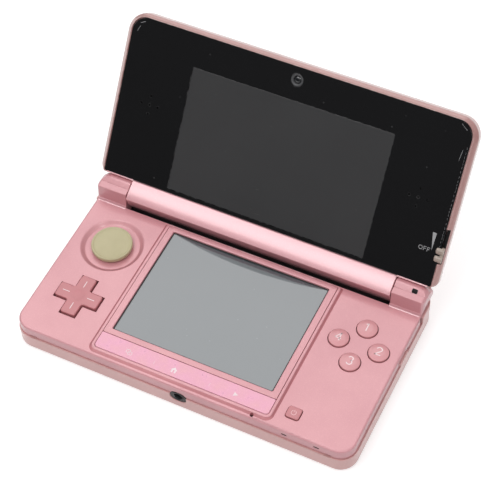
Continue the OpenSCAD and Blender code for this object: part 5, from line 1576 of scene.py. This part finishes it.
    def cameras(self) -> None:
        """Inner camera ring and lens, and the two outer lenses behind their windows."""
        ring = [(2.33, -1.7), (2.33, 0.98), (2.28, 1.03), (2.05, 1.05), (1.75, 1.0), (1.62, 0.85), (1.5, 0.6),
                (1.42, 0.35), (1.42, -1.7)]
        rim = Shape().lathe(ring, (*INNER_CAMERA_AT, 0), 64)
        rim.piece("inner_camera_ring", RING, Body.LID, lid=True, smooth=50, stands_for=["inner_camera"])
        dome = (math.radians(15 * i) for i in range(1, 7))
        lens = [(0, -1.0), (1.4, -1.0), (1.4, 0.3)]
        lens += [(1.25 * math.cos(a), 0.3 + 0.45 * math.sin(a)) for a in dome]
        glass = Shape().lathe(lens, (*INNER_CAMERA_AT, 0), 48)
        glass.piece("inner_camera_lens", LENS, Body.LID, lid=True, smooth=50)
        barrels = Shape()
        panes = Shape()
        for x in OUTER_CAMERAS_X:
            barrel = [(0, -5.0), (0.8, -5.3), (1.3, -5.2), (1.5, -5.55), (2.5, -5.72), (2.6, -5.65),
                      (2.6, -5.2), (4.2, -5.2), (4.2, -3.55), (0, -3.55)]
            barrels.lathe(barrel, (x, OUTER_CAMERAS_Y, 0), 56)
            pane = [(0, -6.56), (2.95, -6.56), (3.12, -6.5), (3.2, -6.38), (3.2, -5.79), (0, -5.79)]
            panes.lathe(pane, (x, OUTER_CAMERAS_Y, 0), 64)
        barrels.piece("outer_camera_barrels", BLACK, Body.LID, lid=True, stands_for=["stereo_cameras"])
        panes.piece("outer_camera_panes", SMOKED, Body.LID, lid=True, stands_for=["camera_windows"])

    def knob(self) -> None:
        """Depth knob: two round bumps on a bar, with its tongue through the rail."""
        bumps = Shape()
        turn = Matrix.Rotation(math.radians(90), 4, "Y")
        bump = [(0, 0.0), (1.3, 0.0), (1.4, 0.03), (1.42, 0.12), (1.42, 0.93), (1.36, 1.05), (1.2, 1.1),
                (0, 1.1)]
        crown = [(0, 0.0), (0.85, 0.0), (1.15, 0.1), (1.34, 0.32), (1.42, 0.62), (1.42, 1.9), (0, 1.9)]
        for v in (16.45, 19.35):
            bumps.lathe(bump, (65.15, v, 0.55), 40, turn)
            crest = Shape().lathe(crown, (63.3, v, 0.55), 40, turn)
            crest.carved(Shape().box((60, 10, -5), (68, 26, 1.37)))
            bumps.take(crest.bm)
        bar = plan(65.15, 66.15, 16.45, 19.35, (0.05,) * 4, 2)
        bumps.prism(bar, -0.75, 1.2)
        tongue = plan(61.3, 65.65, 16.3, 19.5, (0.3,) * 4, 3)
        bumps.prism(tongue, -0.75, -0.05)
        bumps.piece("depth_knob_skin", KNOB, Body.DEPTH, lid=True, smooth=42, stands_for=["depth_slider"])


# Generic marks


class Stroke:
    """Thin printed strokes as flat strips just over a surface."""

    def __init__(self, place: Matrix, lift: float = 0.012) -> None:
        """Starts empty.

        Args:
            place: From the print's plane to the CAD's frame, in millimetres.
            lift: Height over the surface.
        """
        self.shape = Shape()
        self.place = place
        self.lift = lift

    def poly(self, outline: Sequence[Point]) -> None:
        """Adds a filled outline.

        Args:
            outline: Its points, counter-clockwise.
        """
        self.shape.prism(outline, self.lift - 0.008, self.lift)

    def line(self, a: Point, b: Point, w: float) -> None:
        """Adds a straight stroke.

        Args:
            a: One end.
            b: The other end.
            w: Width.
        """
        d = Vector((b[0] - a[0], b[1] - a[1])).normalized() * (w / 2)
        n = Vector((-d.y, d.x))
        self.poly([(p[0] + k * n.x, p[1] + k * n.y) for p, k in ((a, -1), (b, -1), (b, 1), (a, 1))])

    def bow(self, at: Point, r: float, a0: float, a1: float, w: float, steps: int = 20) -> None:
        """Adds an arc stroke.

        Args:
            at: Centre.
            r: Middle radius.
            a0: First angle in degrees.
            a1: Last angle in degrees.
            w: Width.
            steps: Segments.
        """
        outer = arc(*at, r + w / 2, a0, a1, steps)
        inner = arc(*at, r - w / 2, a0, a1, steps)
        for i in range(steps):
            self.poly([inner[i], outer[i], outer[i + 1], inner[i + 1]])

    def done(self, name: str, finish: Finish, body: Body) -> None:
        """Makes the printed piece.

        Args:
            name: Its name.
            finish: Its ink.
            body: Its body.
        """
        self.shape.moved(self.place).piece(name, finish, body)


@dataclass
class Marks:
    """Generic marks: numerals on the round buttons, pictograms on the strip, a standby sign and OFF."""

    ink_w: float = 0.32

    def build(self) -> None:
        """Makes the marks."""
        for digit, (name, (body, (x, y))) in enumerate(ROUND_BUTTONS.items(), 1):
            place = Matrix.Translation((x, y + 0.15, BUTTON_TOP)) @ Matrix.Diagonal((1.35, 1.25, 1.0, 1.0))
            ink = Stroke(place, 0.004)
            self.numeral(ink, digit)
            ink.done(f"{name}_numeral", PALE_INK, body)
        self.power_sign()
        self.cross_lines()
        self.strip_signs()
        self.panel_signs()

    def numeral(self, ink: Stroke, digit: int) -> None:
        """Draws a single-stroke numeral.

        Args:
            ink: Where it is drawn.
            digit: The numeral.
        """
        w = self.ink_w
        if digit == 1:
            ink.line((0.0, -1.3), (0.0, 1.3), w)
            ink.line((0.05, 1.25), (-0.55, 0.75), w)
        elif digit == 2:
            ink.bow((0, 0.55), 0.7, -25, 170, w)
            ink.line((0.63, 0.25), (-0.78, -1.3), w)
            ink.line((-0.85, -1.2), (0.85, -1.2), w)
        elif digit == 3:
            ink.bow((0, 0.65), 0.62, -80, 160, w)
            ink.bow((0, -0.6), 0.7, -160, 80, w)
        else:
            ink.line((0.35, -1.3), (0.35, 1.3), w)
            ink.line((0.4, 1.25), (-0.85, -0.45), w)
            ink.line((-0.9, -0.5), (0.85, -0.5), w)

    def power_sign(self) -> None:
        """Standby sign on the power button."""
        ink = Stroke(Matrix.Translation((*POWER_AT, POWER_TOP)))
        ink.bow((0, -0.1), 0.85, 118, 422, 0.2, 28)
        ink.line((0, 0.1), (0, 1.05), 0.17)
        ink.done("standby_sign", FAINT_INK, Body.POWER)

    def cross_lines(self) -> None:
        """Short pale lines along the arms of the direction pad."""
        ink = Stroke(Matrix.Translation((*CROSS_AT, CROSS_TOP)))
        for a in range(4):
            c, s = math.cos(a * math.pi / 2), math.sin(a * math.pi / 2)
            ink.line((3.6 * c, 3.6 * s), (6.4 * c, 6.4 * s), 0.26)
        ink.done("direction_lines", INK, Body.CROSS)

    def strip_signs(self) -> None:
        """Pictograms on the strip: two squares, a house and a triangle."""
        ink = Stroke(Matrix.Translation((0, 0, STRIP_TOP)))
        for x, y in ((-21.4, -30.5), (-20.5, -31.1)):
            corners = [(x + a, y + b) for a, b in ((-0.7, -0.6), (0.7, -0.6), (0.7, 0.6), (-0.7, 0.6))]
            for a, b in zip(corners, corners[1:] + corners[:1]):
                ink.line(a, b, 0.17)
        x, y = -3.3, -30.8
        ink.poly([(x - 1.25, y - 0.05), (x + 1.25, y - 0.05), (x, y + 1.15)])
        ink.poly([(x - 0.9, y - 1.1), (x - 0.28, y - 1.1), (x - 0.28, y - 0.05), (x - 0.9, y - 0.05)])
        ink.poly([(x + 0.28, y - 1.1), (x + 0.9, y - 1.1), (x + 0.9, y - 0.05), (x + 0.28, y - 0.05)])
        ink.poly([(19.6, -31.6), (21.2, -30.77), (19.6, -29.94)])
        for x in (-11.0, 10.4):
            ink.line((x, -31.6), (x, -30.2), 0.09)
        ink.done("strip_pictograms", INK, Body.BASE)

    def panel_signs(self) -> None:
        """OFF, the growing wedge beside the knob and the rubbed line along the panel's edge."""
        ink = Stroke(LID @ Matrix.Translation((0, 0, PANEL_TOP)))
        x, y, h, w = 57.1, 17.9, 1.55, 0.2
        ink.bow((x + 0.7, y + h / 2), 0.68, 0, 360, w, 28)
        for x0 in (x + 1.85, x + 3.2):
            ink.line((x0, y), (x0, y + h + 0.02), w)
            ink.line((x0 - 0.1, y + h - 0.1), (x0 + 0.92, y + h - 0.1), w)
            ink.line((x0, y + h * 0.5), (x0 + 0.76, y + h * 0.5), w)
        ink.poly([(61.83, 18.7), (62.05, 25.28), (60.6, 25.28)])
        ink.done("off_and_wedge", GREY_INK, Body.LID)
        rub = Stroke(LID @ Matrix.Translation((0, 0, PANEL_TOP)))
        for k in range(26):
            v = 20.5 + 1.45 * k + 0.35 * math.sin(7.3 * k)
            rub.line((64.2 + 0.05 * math.sin(3.1 * k), v), (64.2 + 0.05 * math.sin(3.1 * k + 2), v + 0.8),
                     0.06)
        for x0, v0, x1, v1, w0 in ((-60.4, 64.6, -62.2, 63.6, 0.16), (-62.0, 62.6, -62.9, 60.4, 0.12),
                                   (60.2, 64.9, 62.6, 63.2, 0.1), (62.9, 56.2, 62.5, 52.4, 0.1)):
            rub.line((x0, v0), (x1, v1), w0)
        rub.done("panel_scuffs", GREY_INK, Body.LID)


# Inner nodes and the studio


def dress_frame_nodes(record: dict) -> None:
    """Gives every CAD node that still shows the finish of its record slot.

    Args:
        record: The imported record.
    """
    slots = {part["node"]: part.get("material_slot") for part in record["subparts"]}
    for name, ob in frame["nodes"].items():
        finish = FINISHES.get(slots.get(name, ""), BLACK)
        mat = finish.material()
        if not ob.material_slots:
            ob.data.materials.append(mat)
        for place in ob.material_slots:
            place.material = mat


@dataclass
class Studio:
    """Floor, soft lights, world and the camera at the photograph's view.

    Attributes:
        floor_half: Half width of the floor in metres.
        floor_glow: How much brighter than lit the camera and reflections see the floor.
        front: Direction of the dim sector of the world.
    """

    floor_half: float = 3.0
    floor_glow: float = 0.42
    front: tuple[float, float, float] = (-0.30, -0.94, 0.14)

    def build(self) -> None:
        """Sets the stage."""
        self.camera()
        self.floor()
        self.world()
        self.lamp("key_softbox", (-0.32, -0.52, 1.15), (0, 0.01, 0.03), (0.8, 0.62), 4.1)
        self.lamp("fill_softbox", (0.62, -0.35, 1.03), (0, 0, 0.02), (0.16, 0.15), 1.6)
        self.lamp("top_softbox", (-0.42, 0.72, 1.1), (0, 0, 0.02), (1.2, 0.9), 4.0)
        bpy.context.scene.view_settings.view_transform = "Standard"

    def camera(self) -> None:
        """Camera solved from the photograph."""
        data = bpy.data.cameras.new("camera")
        data.lens = 117.9
        data.sensor_width = 36.0
        data.shift_x = 0.0392
        data.shift_y = -0.0295
        ob = add_object("camera", data)
        axes = Matrix(((0.89399, 0.44500, -0.05257), (-0.32669, 0.72756, 0.60328),
                       (0.30670, -0.52214, 0.79580))).transposed().to_4x4()
        axes.translation = Vector((0.17123, -0.28199, 0.48623))
        ob.matrix_world = axes
        bpy.context.scene.camera = ob

    def floor(self) -> None:
        """Pale floor with a faint paper grain."""
        bm = bmesh.new()
        bmesh.ops.create_grid(bm, x_segments=8, y_segments=8, size=self.floor_half)
        mesh = bpy.data.meshes.new("floor")
        bm.to_mesh(mesh)
        bm.free()
        ob = add_object("floor", mesh)
        mesh.materials.append(self.paper())

    def paper(self) -> bpy.types.Material:
        """White paper that the camera and reflections see a little brighter than it is lit.

        Returns:
            The material.
        """
        mat = bpy.data.materials.new("floor_paper")
        mat.use_nodes = True
        g = Graph(mat.node_tree)
        place = g.node("TexCoord").outputs["Object"]
        grain = g.node("TexNoise", {"Vector": place, "Scale": 240.0, "Detail": 3.0})
        bump = g.node("Bump", {"Strength": 0.2, "Distance": 0.0001, "Height": grain.outputs["Fac"]})
        path = g.node("LightPath").outputs
        seen = g.maths("MAXIMUM", path["Is Camera Ray"], path["Is Glossy Ray"])
        seen = g.maths("MAXIMUM", seen, path["Is Transmission Ray"])
        g.feed(g.tree.nodes["Principled BSDF"], {
            "Base Color": (0.78, 0.78, 0.78, 1), "Roughness": 0.75, "Specular IOR Level": 0.1,
            "Normal": bump.outputs["Normal"], "Emission Color": (1, 1, 1, 1),
            "Emission Strength": g.maths("MULTIPLY", seen, self.floor_glow)})
        return mat

    def lamp(self, name: str, at: Sequence[float], aim: Sequence[float], size: Sequence[float],
             power: float) -> None:
        """Adds a soft rectangular light.

        Args:
            name: Its name.
            at: Its place in metres.
            aim: Point it faces.
            size: Width and height in metres.
            power: Watts.
        """
        data = bpy.data.lights.new(name, "AREA")
        data.shape = "RECTANGLE"
        data.size, data.size_y = size
        data.energy = power
        ob = add_object(name, data)
        ob.location = at
        ob.rotation_euler = (Vector(aim) - Vector(at)).to_track_quat("-Z", "Y").to_euler()

    def world(self) -> None:
        """Pale world, darker low down and in the sector in front."""
        world = bpy.data.worlds.new("studio_world")
        world.use_nodes = True
        g = Graph(world.node_tree)
        way = g.node("TexCoord").outputs["Generated"]
        height = g.node("SeparateXYZ", {0: way}).outputs["Z"]
        ahead = g.vectors("DOT_PRODUCT", way, self.front)["Value"]
        level = g.maths("MULTIPLY", g.ranged(height, (-0.1, 0.85), (0.16, 0.75)),
                        g.ranged(ahead, (0.72, 0.92), (1.0, 0.32)))
        seen = g.node("LightPath").outputs["Is Camera Ray"]
        pick = g.node("Mix", {"Factor": seen, "A": level, "B": 1.0}, data_type="FLOAT")
        g.feed(g.tree.nodes["Background"], {"Color": (1.0, 1.0, 1.0, 1.0),
                                            "Strength": pick.outputs["Result"]})
        bpy.context.scene.world = world


def main() -> None:
    """Builds the whole scene."""
    dress_frame_nodes(frame["record"])
    shells = Shells()
    shells.upper()
    shells.trough_shade()
    shells.lower()
    ScreenFrame().build()
    Controls().build()
    SideParts().build()
    Lid().build()
    Marks().build()
    Studio().build()


if __name__ == "__main__":
    main()
